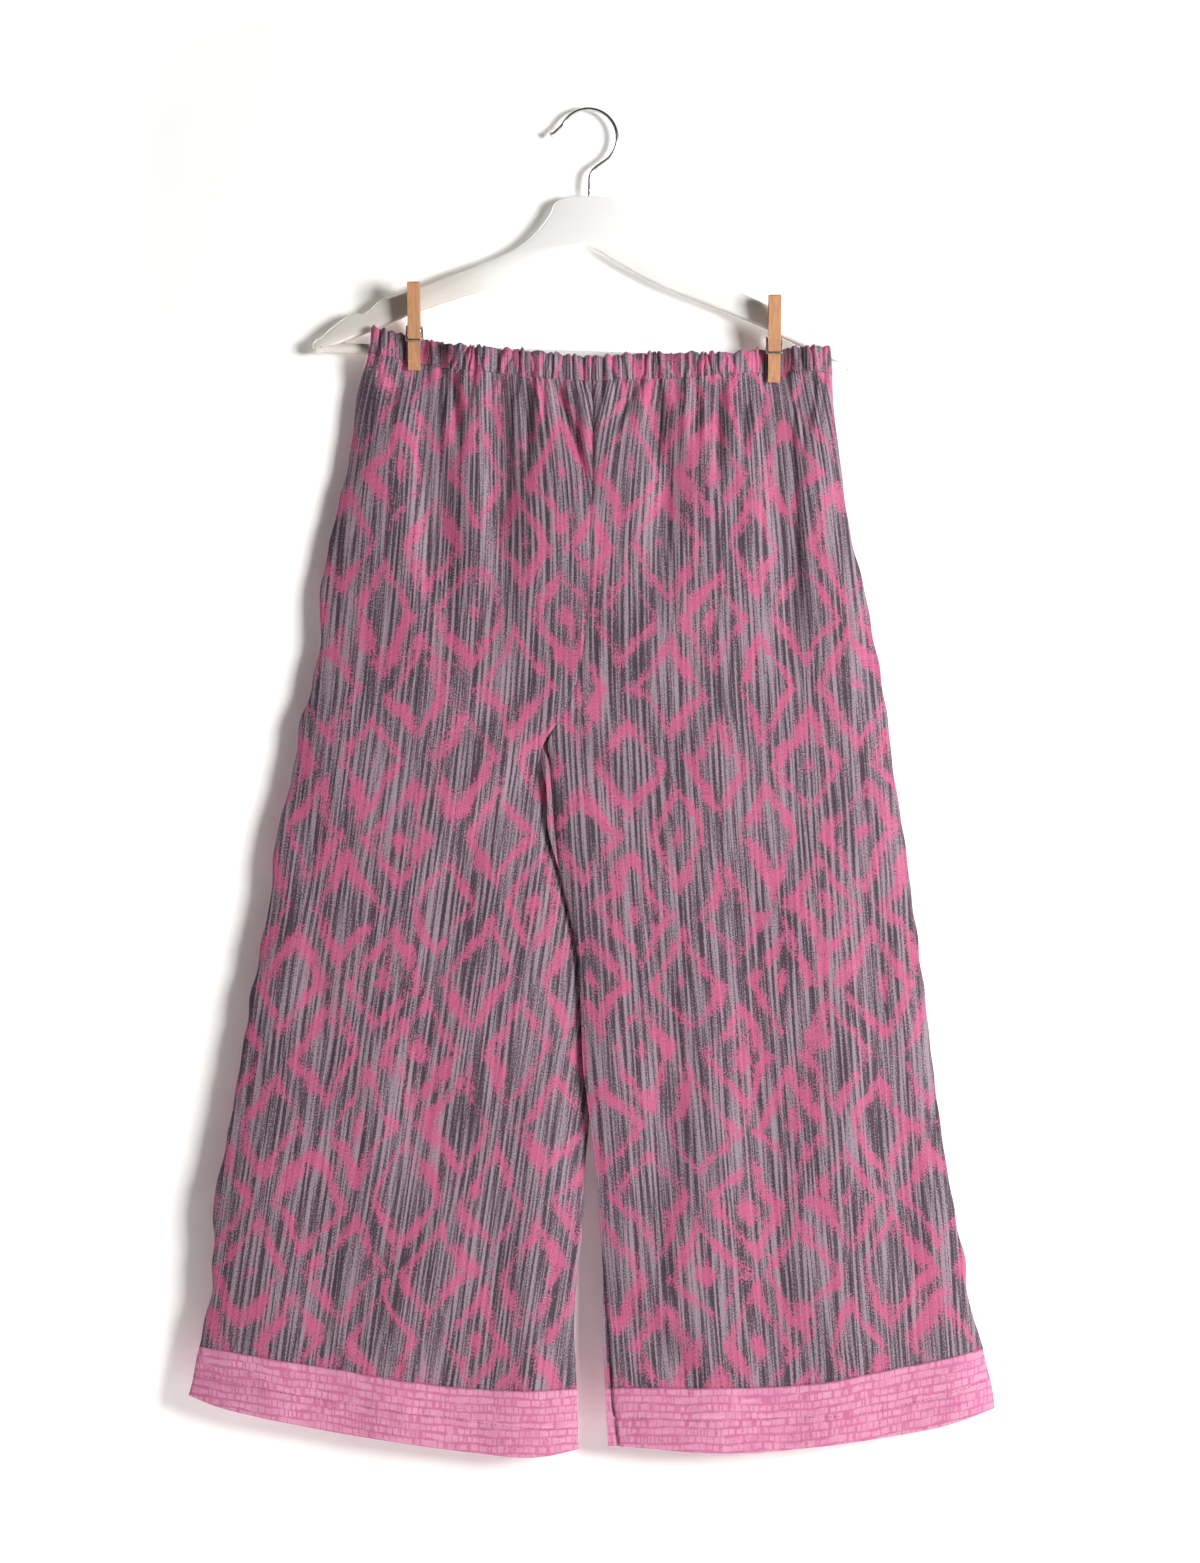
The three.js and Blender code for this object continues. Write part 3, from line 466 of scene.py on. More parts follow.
# Depth of the outer surface of front or back at a place on a leg
def surfaceY(side, layer, x, drop, share, wall):
    look = shapeLook
    below = drop - waistSeam(x)
    free = clearOfPins(x, drop, look["gatherClear"])
    fromSide = np.abs(x - outerX(side, drop))
    toFold = np.abs(x - foldX(side, drop))
    toCrotch = np.hypot(x - cut["crotchX"], drop - cut["crotchDrop"])
    fromFold = np.where(drop < cut["crotchDrop"], toCrotch, toFold)
    swell = (1 - np.exp(-fromSide / look["sideSwell"])) * (1 - np.exp(-fromFold / look["foldSwell"]))
    depth = 2 * read(hollow, "drop", "half", drop) * swell * clearOfPins(x, drop, look["swellClear"])
    rearShare = read(hollow, "drop", "rearShare", drop)
    room = depth * ((1 - rearShare) if layer == "front" else rearShare)
    flute = 1 + look["flute"] * np.sin(x / look["fluteRun"] + side * 2) * smooth(*look["fluteFrom"], drop)
    # Troughs and fine folds go inwards, at most through the deepest share of the room there
    dent = look["troughStrength"] * troughDepth(troughs[layer], x, drop)
    dent = dent + troughDepth(fineFolds[layer], x, drop) * smooth(*look["fineBegin"], below) * free
    dent = np.minimum(dent, look["deepest"] * room)
    calm = smooth(*look["foldsBegin"], below) * clearOfPins(x, drop, look["foldClear"])
    slow = look["foldStrength"] * foldDepth(softFolds[layer], x, drop) + unevenness(side, x, drop, len(layer))
    dent = dent + np.minimum(1, room / look["fullRoom"]) * calm * slow
    # The front's gathers stand out, over a bed that leaves room for the back's, which go inwards
    fade = (1 - smooth(*look["gathersEnd"], below)) * free
    crests = gatherWave(share, layer, np.clip(-below, *look["gatherReach"])) * fade
    bed = 2 * cut["gatherDepth"] * fade if layer == "front" else 0
    outward = room * flute - dent + bed - facings[layer] * crests + wall + cut["seamGap"] / 2
    # Side fold: the surface turns in to the middle, where front and back meet
    edge = np.minimum(1, fromSide / look["foldRound"])
    inner = np.clip((toFold - insetAt(side, drop)) / look["foldRound"], 0, 1)
    legs = smooth(*cut["legsBegin"], drop)
    edge = edge * ((1 - legs) + legs * inner)
    turned = np.sqrt(np.clip(1 - (1 - edge) ** 2, 0, 1))
    # Centre seam: a puckered groove
    pucker = look["pucker"] * np.sin(drop / look["puckerRun"]) * np.sin(drop / look["puckerDrift"])
    groove = (1 - legs) * (1 - look["pucker"] + pucker) * hump(look["seamGroove"], toFold)
    middle = restY(x, drop) - overlapPush(side, fromFold, drop) - cut["seamGap"] / 2
    return middle + facings[layer] * (outward * turned - groove)


# A share across a leg as x and drop, in a few rounds because each depends on the other
def placeOnLeg(side, across, dropAt, inset):
    x = side * 100.0 + 0 * across
    drop = dropAt(x)
    for attempt in range(6):
        outer = outerX(side, drop)
        inner = foldX(side, drop) + (insetAt(side, drop) if inset else 0)
        x = outer + (inner - outer) * across
        drop = dropAt(x)
    return x, drop


# The grain down each leg, the fullness that the gathers take up, and the places of the panels in the cloth
grainLines = {
    "drop": (180, 350, 500, 700, 1095),
    "right": (-88, -90, -100, -126, -181),
    "left": (100, 102, 108, 121, 149),
}
clothLay = {"fullness": 0.36, "fullnessRun": 85, "leftAt": 611, "backAt": 1300}


# Cloth coordinates in metres of cut cloth
def clothPlace(side, layer, x, drop):
    right = read(grainLines, "drop", "right", drop)
    left = read(grainLines, "drop", "left", drop)
    centre = np.where(side < 0, right, left)
    below = np.maximum(0, drop - waistSeam(x))
    fullness = 1 + clothLay["fullness"] * np.exp(-below / clothLay["fullnessRun"])
    apart = np.where(side < 0, 0, clothLay["leftAt"]) + (clothLay["backAt"] if layer == "back" else 0)
    return (x - centre) * fullness * mm + apart * mm, -drop * mm


print("shape functions ready")

# Making a sheet: a grid whose vertices are moved to the cloth's outer surface


# Places across a sheet as shares of its width, closer together at its edges
def evenShares(count, edgeShares):
    edges = np.array(edgeShares)
    bulk = np.linspace(edges[-1], 1 - edges[-1], count)
    return np.concatenate([edges[:-1], bulk, 1 - edges[:-1][::-1]])


def meshFrom(bm, name):
    mesh = bpy.data.meshes.new(name)
    bm.to_mesh(mesh)
    bm.free()
    return mesh


def addObject(name, mesh, material):
    mesh.materials.clear()
    mesh.materials.append(material)
    piece = bpy.data.objects.new(name, mesh)
    scene.collection.objects.link(piece)
    return piece


def makeSheet(node, material, acrossShares, downShares, place):
    columns = len(acrossShares) - 1
    rows = len(downShares) - 1
    bm = bmesh.new()
    bmesh.ops.create_grid(bm, x_segments=columns, y_segments=rows, size=1)
    mesh = meshFrom(bm, "cloth_" + node)
    flat = np.empty(len(mesh.vertices) * 3)
    mesh.vertices.foreach_get("co", flat)
    flat = flat.reshape(-1, 3)
    across = acrossShares[np.rint((flat[:, 0] + 1) / 2 * columns).astype(int)]
    down = downShares[np.rint((flat[:, 1] + 1) / 2 * rows).astype(int)]
    x, y, drop, clothU, clothV = place(across, down)
    spots = np.stack([x, y, -drop], axis=1) * mm
    mesh.vertices.foreach_set("co", spots.ravel())
    corners = np.empty(len(mesh.loops), dtype=np.int32)
    mesh.loops.foreach_get("vertex_index", corners)
    layer = mesh.uv_layers.new(name="cloth")
    layer.data.foreach_set("uv", np.stack([clothU[corners], clothV[corners]], axis=1).ravel())
    mesh.update()
    wanted = facings["back" if node.endswith("back") else "front"]
    if sum(polygon.normal.y for polygon in mesh.polygons) * wanted < 0:
        mesh.flip_normals()
    mesh.shade_smooth()
    piece = addObject("cloth_" + node, mesh, material)
    thicken = piece.modifiers.new("wall", "SOLIDIFY")
    thicken.thickness = sheetWall * mm
    thicken.offset = -1
    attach(piece, "root")
    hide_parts(node)
    return piece


# Materials


# Each named socket is linked to another one or set to a value
def plug(tree, node, sockets):
    for name, value in sockets.items():
        socket = node.inputs[name]
        if isinstance(value, bpy.types.NodeSocket):
            tree.links.new(value, socket)
        else:
            socket.default_value = value


def addNode(tree, kind, sockets=None, **settings):
    node = tree.nodes.new(kind)
    for name, value in settings.items():
        setattr(node, name, value)
    plug(tree, node, sockets or {})
    return node


def calc(tree, operation, *values):
    return addNode(tree, "ShaderNodeMath", dict(enumerate(values)), operation=operation).outputs[0]


def vectorCalc(tree, operation, *values):
    return addNode(tree, "ShaderNodeVectorMath", dict(enumerate(values)), operation=operation).outputs[0]


def split(tree, vector):
    return addNode(tree, "ShaderNodeSeparateXYZ", {0: vector}).outputs


def join(tree, x, y):
    return addNode(tree, "ShaderNodeCombineXYZ", {0: x, 1: y}).outputs[0]


def noiseOn(tree, vector, stretch, detail, roughness=0.5, output="Fac"):
    mapping = addNode(tree, "ShaderNodeMapping", {"Vector": vector, "Scale": stretch})
    sockets = {"Vector": mapping.outputs[0], "Scale": 1.0, "Detail": detail, "Roughness": roughness}
    return addNode(tree, "ShaderNodeTexNoise", sockets).outputs[output]


# Noise about its middle, from plus to minus half
def centredNoise(tree, place, stretch, detail):
    return calc(tree, "SUBTRACT", noiseOn(tree, place, stretch, detail), 0.5)


def ramp(tree, value, low, high):
    sockets = {"Value": value, "From Min": low, "From Max": high}
    return addNode(tree, "ShaderNodeMapRange", sockets, interpolation_type="SMOOTHSTEP").outputs[0]


def mixColours(tree, factor, first, second):
    sockets = {0: factor, 6: first, 7: second}
    return addNode(tree, "ShaderNodeMix", sockets, data_type="RGBA").outputs[2]


def addBump(tree, height, strength, distance, under=None):
    sockets = {"Strength": strength, "Distance": distance, "Height": height}
    if under is not None:
        sockets["Normal"] = under
    return addNode(tree, "ShaderNodeBump", sockets).outputs[0]


def objectPlace(tree):
    return addNode(tree, "ShaderNodeTexCoord").outputs["Object"]


def clothPlaceNode(tree):
    return addNode(tree, "ShaderNodeUVMap", uv_map="cloth").outputs[0]


def newGroup(name, inputs, outputs):
    tree = bpy.data.node_groups.new(name, "ShaderNodeTree")
    for label, kind in inputs:
        tree.interface.new_socket(name=label, in_out="INPUT", socket_type=kind)
    for label in outputs:
        tree.interface.new_socket(name=label, in_out="OUTPUT", socket_type="NodeSocketFloat")
    return tree, tree.nodes.new("NodeGroupInput"), tree.nodes.new("NodeGroupOutput")


def arrange(tree):
    for k, node in enumerate(tree.nodes):
        node.location = (220 * (k % 9), -260 * (k // 9))


def newTree(name):
    material = bpy.data.materials.new(name)
    material.use_nodes = True
    material.node_tree.nodes.clear()
    return material, material.node_tree


def newMaterial(name):
    material, tree = newTree(name)
    shader = addNode(tree, "ShaderNodeBsdfPrincipled")
    addNode(tree, "ShaderNodeOutputMaterial", {"Surface": shader.outputs[0]})
    return material, tree, shader


# Fine threads and the slubs that thicken some of them
def makeWeaveGroup():
    inputs = [("Place", "NodeSocketVector"), ("Slubs", "NodeSocketFloat")]
    tree, source, result = newGroup("clothWeave", inputs, ["Height", "Speckle"])
    place = source.outputs["Place"]
    warp = noiseOn(tree, place, (2100, 260, 1), 2)
    weft = noiseOn(tree, place, (240, 1900, 1), 2)
    threads = calc(tree, "ADD", warp, weft)
    slubs = centredNoise(tree, place, (60, 900, 1), 1)
    height = calc(tree, "MULTIPLY_ADD", slubs, source.outputs["Slubs"], threads)
    plug(tree, result, {"Height": height, "Speckle": ramp(tree, threads, 0.72, 1.28)})
    arrange(tree)
    return tree


# Faint creases across the grain, as left by folding and packing
def makeCreaseGroup():
    tree, source, result = newGroup("pressCreases", [("Place", "NodeSocketVector")], ["Height"])
    place = source.outputs["Place"]
    total = None
    for stretch, sharp in (((9, 70, 1), 0.02), ((22, 150, 1), 0.03), ((60, 34, 1), 0.02)):
        noise = centredNoise(tree, place, stretch, 1.5)
        ridge = ramp(tree, calc(tree, "ABSOLUTE", noise), 0.0, sharp)
        gaps = ramp(tree, noiseOn(tree, place, (stretch[0] * 1.7, stretch[1] * 0.4, 3), 1), 0.42, 0.62)
        line = calc(tree, "MULTIPLY", calc(tree, "SUBTRACT", 1.0, ridge), gaps)
        total = line if total is None else calc(tree, "ADD", total, line)
    plug(tree, result, {"Height": total})
    arrange(tree)
    return tree


weaveGroup = makeWeaveGroup()
creaseGroup = makeCreaseGroup()
# What both cloths have: the bump of the threads, as strength and depth, and the sheen
clothLook = {"threads": (0.35, 0.0004), "sheen": 0.12, "sheenRoughness": 0.4, "specular": 0.35}


# The weave, its creases and the shine of a cloth whose colours are ready
def finishCloth(tree, shader, place, colour, mask, look):
    weave = addNode(tree, "ShaderNodeGroup", {"Place": place, "Slubs": look["slubs"]}, node_tree=weaveGroup)
    creases = addNode(tree, "ShaderNodeGroup", {"Place": place}, node_tree=creaseGroup)
    speckle = look["speckle"]
    shade = calc(tree, "MULTIPLY_ADD", weave.outputs["Speckle"], speckle, 1 - speckle / 2)
    tinted = addNode(tree, "ShaderNodeVectorMath", {0: colour, "Scale": shade}, operation="SCALE")
    threads = addBump(tree, weave.outputs["Height"], *clothLook["threads"])
    sockets = {
        "Base Color": tinted.outputs[0],
        "Roughness": calc(tree, "MULTIPLY_ADD", mask, -look["smoother"], look["roughness"]),
        "Normal": addBump(tree, creases.outputs["Height"], *look["creases"], threads),
        "Sheen Weight": clothLook["sheen"],
        "Sheen Roughness": clothLook["sheenRoughness"],
        "Specular IOR Level": clothLook["specular"],
    }
    plug(tree, shader, sockets)
    arrange(tree)


# Noises: how often they change across and down the cloth in a metre, their detail and strength
printLook = {
    "darkStreak": (0.044, 0.026, 0.042, 1),
    "midStreak": (0.124, 0.083, 0.112, 1),
    "lightStreak": (0.285, 0.214, 0.262, 1),
    "pink": (0.515, 0.110, 0.222, 1),
    "deepPink": (0.360, 0.066, 0.148, 1),
    "lozengeWidth": 0.076,
    "lozengeHeight": 0.118,
    "warp": 0.031,
    "ringAt": 0.165,
    "ringVaries": 0.06,
    "ringHalf": 0.048,
    "ragged": (
        {"stretch": (30, 24, 1), "detail": 1, "size": 0.28},
        {"stretch": (95, 55, 1), "detail": 2, "size": 0.22},
        {"stretch": (430, 110, 1), "detail": 2, "size": 0.24},
        {"stretch": (900, 620, 1), "detail": 1, "size": 0.36},
    ),
    "streakShare": 0.43,
    "stripeShare": 0.2,
    "stripePitch": 0.0054,
    "stripeDrift": 3.2,
    "streakGrit": 0.46,
    "pinkGrit": 0.9,
    "roughness": 0.68,
    "smoother": 0.08,
    "slubs": 0.8,
    "speckle": 0.16,
    "creases": (0.5, 0.0007),
}


# Pink mask of ragged lozenges, closed shapes in offset rows
def lozengeMask(tree, place, look):
    warp = noiseOn(tree, place, (17, 14, 1), 1.0, output="Color")
    centred = vectorCalc(tree, "SUBTRACT", warp, (0.5, 0.5, 0.5))
    moved = split(tree, vectorCalc(tree, "MULTIPLY_ADD", centred, (look["warp"],) * 3, place))
    across = calc(tree, "DIVIDE", moved[0], look["lozengeWidth"])
    down = calc(tree, "DIVIDE", moved[1], look["lozengeHeight"])
    rising = calc(tree, "ADD", across, down)
    falling = calc(tree, "SUBTRACT", across, down)
    toEdge = calc(tree, "MINIMUM", *(calc(tree, "PINGPONG", way, 0.5) for way in (rising, falling)))
    cell = join(tree, calc(tree, "FLOOR", rising), calc(tree, "FLOOR", falling))
    chance = addNode(tree, "ShaderNodeTexWhiteNoise", {"Vector": cell}, noise_dimensions="3D")
    chances = split(tree, chance.outputs["Color"])
    varies = look["ringVaries"]
    ringAt = calc(tree, "MULTIPLY_ADD", chances[0], varies, look["ringAt"] - varies / 2)
    fromRing = calc(tree, "ABSOLUTE", calc(tree, "SUBTRACT", toEdge, ringAt))
    ragged = 0.0
    for noise in look["ragged"]:
        uneven = centredNoise(tree, place, noise["stretch"], noise["detail"])
        ragged = calc(tree, "MULTIPLY_ADD", uneven, noise["size"], ragged)
    reach = calc(tree, "ADD", ragged, look["ringHalf"])
    ring = ramp(tree, calc(tree, "SUBTRACT", reach, fromRing), -0.008, 0.008)
    # A short dash inside about a third of the lozenges
    core = calc(tree, "MULTIPLY_ADD", chances[1], 0.10, 0.33)
    dash = ramp(tree, calc(tree, "SUBTRACT", calc(tree, "ADD", toEdge, ragged), core), 0.05, 0.065)
    chosen = ramp(tree, chances[2], 0.60, 0.61)
    return calc(tree, "MAXIMUM", ring, calc(tree, "MULTIPLY", dash, chosen))


# The lozenges lie over streaks that run down the grain
def makePrintedCloth(look):
    material, tree, shader = newMaterial("printedCloth")
    place = clothPlaceNode(tree)
    pinkMask = lozengeMask(tree, place, look)
    fine = noiseOn(tree, place, (620, 10, 1), 1)
    medium = noiseOn(tree, place, (300, 8, 1), 1)
    drift = noiseOn(tree, place, (46, 9, 1), 1)
    grit = centredNoise(tree, place, (1250, 850, 1), 1)
    apart = calc(tree, "DIVIDE", split(tree, place)[0], look["stripePitch"])
    stripe = calc(tree, "PINGPONG", calc(tree, "MULTIPLY_ADD", drift, look["stripeDrift"], apart), 0.5)
    mixed = calc(tree, "MULTIPLY_ADD", stripe, look["stripeShare"], 0.02)
    for streaks in (fine, medium):
        mixed = calc(tree, "MULTIPLY_ADD", streaks, look["streakShare"], mixed)
    lightness = ramp(tree, calc(tree, "MULTIPLY_ADD", grit, look["streakGrit"], mixed), 0.405, 0.595)
    darkHalf = mixColours(tree, ramp(tree, lightness, 0.0, 0.55), look["darkStreak"], look["midStreak"])
    ground = mixColours(tree, ramp(tree, lightness, 0.45, 1.0), darkHalf, look["lightStreak"])
    tone = ramp(tree, calc(tree, "MULTIPLY_ADD", grit, look["pinkGrit"], mixed), 0.36, 0.64)
    pink = mixColours(tree, tone, look["deepPink"], look["pink"])
    finishCloth(tree, shader, place, mixColours(tree, pinkMask, ground, pink), pinkMask, look)
    return material


bandLook = {
    "light": (0.650, 0.300, 0.430, 1),
    "ground": (0.500, 0.128, 0.262, 1),
    "rowPitch": 0.0064,
    "alongScale": 185,
    "roughness": 0.66,
    "smoother": 0.06,
    "slubs": 0.5,
    "speckle": 0.14,
    "creases": (0.4, 0.0006),
}


# Soft dashes in rows, each of another length, some of them run together
def makeBandCloth(look):
    material, tree, shader = newMaterial("bandCloth")
    place = clothPlaceNode(tree)
    parts = split(tree, place)
    wobble = centredNoise(tree, place, (34, 40, 1), 1)
    rows = calc(tree, "MULTIPLY_ADD", wobble, 0.8, calc(tree, "DIVIDE", parts[1], look["rowPitch"]))
    row = calc(tree, "FLOOR", rows)
    fromRow = calc(tree, "ABSOLUTE", calc(tree, "SUBTRACT", calc(tree, "SUBTRACT", rows, row), 0.5))
    ragged = centredNoise(tree, place, (420, 560, 1), 2)
    rowPlace = join(tree, parts[0], calc(tree, "MULTIPLY", row, 5.3))
    breaks = calc(tree, "ABSOLUTE", centredNoise(tree, rowPlace, (look["alongScale"], 1, 1), 0))
    joins = calc(tree, "SUBTRACT", noiseOn(tree, place, (75, 95, 1), 1), 0.42)
    across = calc(tree, "SUBTRACT", calc(tree, "MULTIPLY_ADD", joins, 0.5, 0.5), fromRow)
    inRow = ramp(tree, calc(tree, "MULTIPLY_ADD", ragged, 0.3, across), 0.07, 0.27)
    inDash = ramp(tree, calc(tree, "MULTIPLY_ADD", ragged, 0.12, breaks), 0.004, 0.075)
    strength = calc(tree, "MULTIPLY_ADD", noiseOn(tree, place, (48, 62, 1), 2), 1.1, 0.1)
    dash = calc(tree, "MULTIPLY", calc(tree, "MULTIPLY", inRow, inDash), strength)
    colour = mixColours(tree, dash, look["ground"], look["light"])
    finishCloth(tree, shader, place, colour, dash, look)
    return material


threadLook = {"colour": (0.30, 0.060, 0.135, 1), "shade": (0.21, 0.040, 0.090, 1), "roughness": 0.6}


def makeThread(look):
    material, tree, shader = newMaterial("sewingThread")
    twist = noiseOn(tree, objectPlace(tree), (2600, 2600, 2600), 1)
    colour = mixColours(tree, twist, look["shade"], look["colour"])
    normal = addBump(tree, twist, 0.4, 0.0001)
    plug(tree, shader, {"Base Color": colour, "Roughness": look["roughness"], "Normal": normal})
    arrange(tree)
    return material


# Painted shade: the paint darkens from one place along the hanger to another, towards the arm that turns from
# the light; random blotches vary it too
paintLook = {
    "unshaded": (0.86, 0.85, 0.83, 1),
    "shadeAndBlotchColour": (0.66, 0.615, 0.56, 1),
    "shadeFrom": -0.03,
    "shadeTo": -0.16,
    "roughness": 0.42,
}


def makeWhitePaint(look):
    material, tree, shader = newMaterial("whitePaint")
    place = objectPlace(tree)
    grain = noiseOn(tree, place, (18, 260, 260), 3, 0.6)
    cloud = noiseOn(tree, place, (26, 26, 26), 2)
    mixed = calc(tree, "MULTIPLY_ADD", grain, 0.35, calc(tree, "MULTIPLY", cloud, 0.65))
    # Painted shade: darker towards -X along the hanger, where the key light falls off, plus random blotches
    # from the grain and cloud noise
    unshaded = ramp(tree, split(tree, place)[0], look["shadeTo"], look["shadeFrom"])
    shadeAndBlotches = calc(tree, "SUBTRACT", 1.0, unshaded)
    shadeAndBlotches = calc(tree, "MULTIPLY_ADD", calc(tree, "SUBTRACT", 0.5, mixed), 0.7, shadeAndBlotches)
    sockets = {
        "Base Color": mixColours(tree, ramp(tree, shadeAndBlotches, -0.2, 1.1), look["unshaded"], look["shadeAndBlotchColour"]),
        "Roughness": calc(tree, "MULTIPLY_ADD", cloud, 0.16, look["roughness"] - 0.08),
        "Normal": addBump(tree, grain, 0.18, 0.0005),
        "Coat Weight": 0.12,
        "Coat Roughness": 0.25,
    }
    plug(tree, shader, sockets)
    arrange(tree)
    return material


metalLooks = {
    "chrome": {"colour": (0.66, 0.66, 0.66, 1), "shade": (0.48, 0.48, 0.48, 1), "roughness": 0.2},
    "springSteel": {"colour": (0.46, 0.45, 0.43, 1), "shade": (0.27, 0.25, 0.22, 1), "roughness": 0.32},
}


def makeMetal(name):
    look = metalLooks[name]
    material, tree, shader = newMaterial(name)
    place = objectPlace(tree)
    haze = ramp(tree, noiseOn(tree, place, (420, 420, 420), 3), 0.35, 0.62)
    scratch = noiseOn(tree, place, (1800, 1800, 300), 2)
    sockets = {
        "Base Color": mixColours(tree, haze, look["shade"], look["colour"]),
        "Roughness": calc(tree, "MULTIPLY_ADD", scratch, 0.12, look["roughness"] - 0.04),
        "Normal": addBump(tree, scratch, 0.08, 0.0001),
        "Metallic": 1,
    }
    plug(tree, shader, sockets)
    arrange(tree)
    return material


woodLook = {
    "light": (0.48, 0.238, 0.112, 1),
    "mid": (0.40, 0.188, 0.086, 1),
    "dark": (0.30, 0.135, 0.066, 1),
    "pores": 0.6,
    "roughness": 0.62,
}


def makeBareWood(look):
    material, tree, shader = newMaterial("bareWood")
    place = objectPlace(tree)
    bands = noiseOn(tree, place, (420, 300, 14), 3, 0.6)
    pores = ramp(tree, noiseOn(tree, place, (1500, 1500, 70), 2), 0.62, 0.72)
    pores = calc(tree, "MULTIPLY", pores, look["pores"])
    base = mixColours(tree, ramp(tree, bands, 0.36, 0.62), look["mid"], look["light"])
    sockets = {
        "Base Color": mixColours(tree, pores, base, look["dark"]),
        "Roughness": calc(tree, "MULTIPLY_ADD", bands, 0.16, look["roughness"] - 0.08),
        "Normal": addBump(tree, calc(tree, "SUBTRACT", bands, pores), 0.3, 0.0003),
    }
    plug(tree, shader, sockets)
    arrange(tree)
    return material


printedCloth = makePrintedCloth(printLook)
bandCloth = makeBandCloth(bandLook)
sewingThread = makeThread(threadLook)
whitePaint = makeWhitePaint(paintLook)
chrome = makeMetal("chrome")
springSteel = makeMetal("springSteel")
bareWood = makeBareWood(woodLook)
print("materials ready")

# Leg panels

# The ends run on under the casing and the band: underlap is how far, and the two after it how deep they lie
panelLook = {
    "columns": 186,
    "edgeShares": (0, 0.0008, 0.0025, 0.005, 0.0085, 0.013),
    "endShares": (0, 0.0012, 0.0024, 0.0038, 0.0054),
    "topRows": 36,
    "topShare": 0.075,
    "rows": 156,
    "underlap": 1.4,
    "underCasing": 1.15,
    "underBand": 0.75,
    "casingEdge": (-0.2, 2.8),
    "bandEdge": (-4.5, -0.2),
}


# Places down a panel, closer together at its ends and under the casing
def panelRows(look):
    ends = np.array(look["endShares"])
    top = np.linspace(ends[-1], look["topShare"], look["topRows"], endpoint=False)
    bulk = np.linspace(look["topShare"], 1 - ends[-1], look["rows"])
    return np.concatenate([ends[:-1], top, bulk, 1 - ends[:-1][::-1]])


def makePanel(sideName, side, layer):
    look = panelLook
    name = f"{sideName}_{layer}"

    def place(across, down):
        def dropAt(x):
            return (waistSeam(x) - look["underlap"]) * (1 - down) + (hemSeam(x) + look["underlap"]) * down

        x, drop = placeOnLeg(side, across, dropAt, side > 0 and layer == "front")
        share = across if side < 0 else 1 - across
        tucked = look["underCasing"] * (1 - smooth(*look["casingEdge"], drop - waistSeam(x)))
        tucked = tucked + look["underBand"] * smooth(*look["bandEdge"], drop - hemSeam(x))
        y = surfaceY(side, layer, x, drop, share, cut["clothWall"]) - facings[layer] * tucked
        return x, y, drop, *clothPlace(side, layer, x, drop)

    shares = evenShares(look["columns"], look["edgeShares"])
    piece = makeSheet(name, printedCloth, shares, panelRows(look), place)


for sideName, side in (("right", -1), ("left", 1)):
    for layer in ("front", "back"):
        makePanel(sideName, side, layer)
print("leg panels ready")

# Casing, one strip for the front and one for the back

casingLook = {
    "columns": 640,
    "edgeShares": (0, 0.0005, 0.0016, 0.0034, 0.006),
    "rows": 26,
    "pinClear": 9,
    "crown": 0.9,
    "topRoll": (0.9, 0.05),
    "lowerRoll": (0.3, 0.05),
    "frill": 0.9,
    "frillMiddle": 1.3,
    "fullness": 1.15,
}


def makeCasing(layer):
    look = casingLook

    def place(across, down):
        def dropAt(x):
            return waistTop(x) * (1 - down) + waistSeam(x) * down

        onRight = across < 0.5
        side = np.where(onRight, -1, 1)
        x, drop = placeOnLeg(side, np.where(onRight, across * 2, 2 - across * 2), dropAt, False)
        share = np.where(onRight, across * 2, across * 2 - 1)
        free = clearOfPins(x, drop, look["pinClear"])
        crown = look["crown"] * np.sin(np.pi * np.clip(down, 0, 1)) * free
        edges = hump(look["topRoll"], down) + hump(look["lowerRoll"], 1 - down)
        y = surfaceY(side, layer, x, drop, share, cut["clothWall"]) + facings[layer] * (crown - edges)
        # The top edge frills up on each crest
        crest = gatherWave(share, layer, waistSeam(x) - waistTop(x)) - look["frillMiddle"]
        drop = drop - look["frill"] * crest * (1 - down) ** 3 * free
        clothU, clothV = clothPlace(side, layer, x, drop)
        return x, y, drop, clothU * look["fullness"], clothV

    shares = evenShares(look["columns"], look["edgeShares"])
    rows = np.linspace(0, 1, look["rows"])
    piece = makeSheet("waistband_" + layer, printedCloth, shares, rows, place)


for layer in ("front", "back"):
    makeCasing(layer)
print("casing ready")

# Hem bands with their topstitching

hemLook = {
    "columns": 120,
    "rows": 30,
    "proud": 1.5,
    "edgeRoll": (0.9, 1.0),
    "seamRoll": (0.3, 0.9),
    "stitchPull": (0.8, 1.4),
    "pucker": (0.34, 1 / 2.9),
    "drift": (1.5, 1 / 17),
    "finePucker": (0.2, 1 / 1.25),
    "fineDrift": (2, 1 / 11),
    "puckerReach": (1, 6),
    "leftAt": 500,
    "backAt": 1700,
    "stitchesFrom": {"right": (-318, -12), "left": (22, 322)},
    "stitchLength": 2.5,
    "stitchPitch": 3.4,
    "stitchRadius": 0.4,
}


def bandY(side, layer, x, drop):
    look = hemLook
    y = surfaceY(side, layer, x, drop, 0 * x, look["proud"])
    toStitch = drop - read(stitchLine, "x", "drop", x)
    inwards = hump(look["edgeRoll"], hemEdge(x) - drop) + hump(look["seamRoll"], drop - hemSeam(x))
    inwards = inwards + hump(look["stitchPull"], toStitch)
    ripple = wave(look["pucker"], x, wave(look["drift"], x))
    ripple = ripple + wave(look["finePucker"], x, wave(look["fineDrift"], x))
    return y - facings[layer] * (inwards + ripple * hump(look["puckerReach"], toStitch))


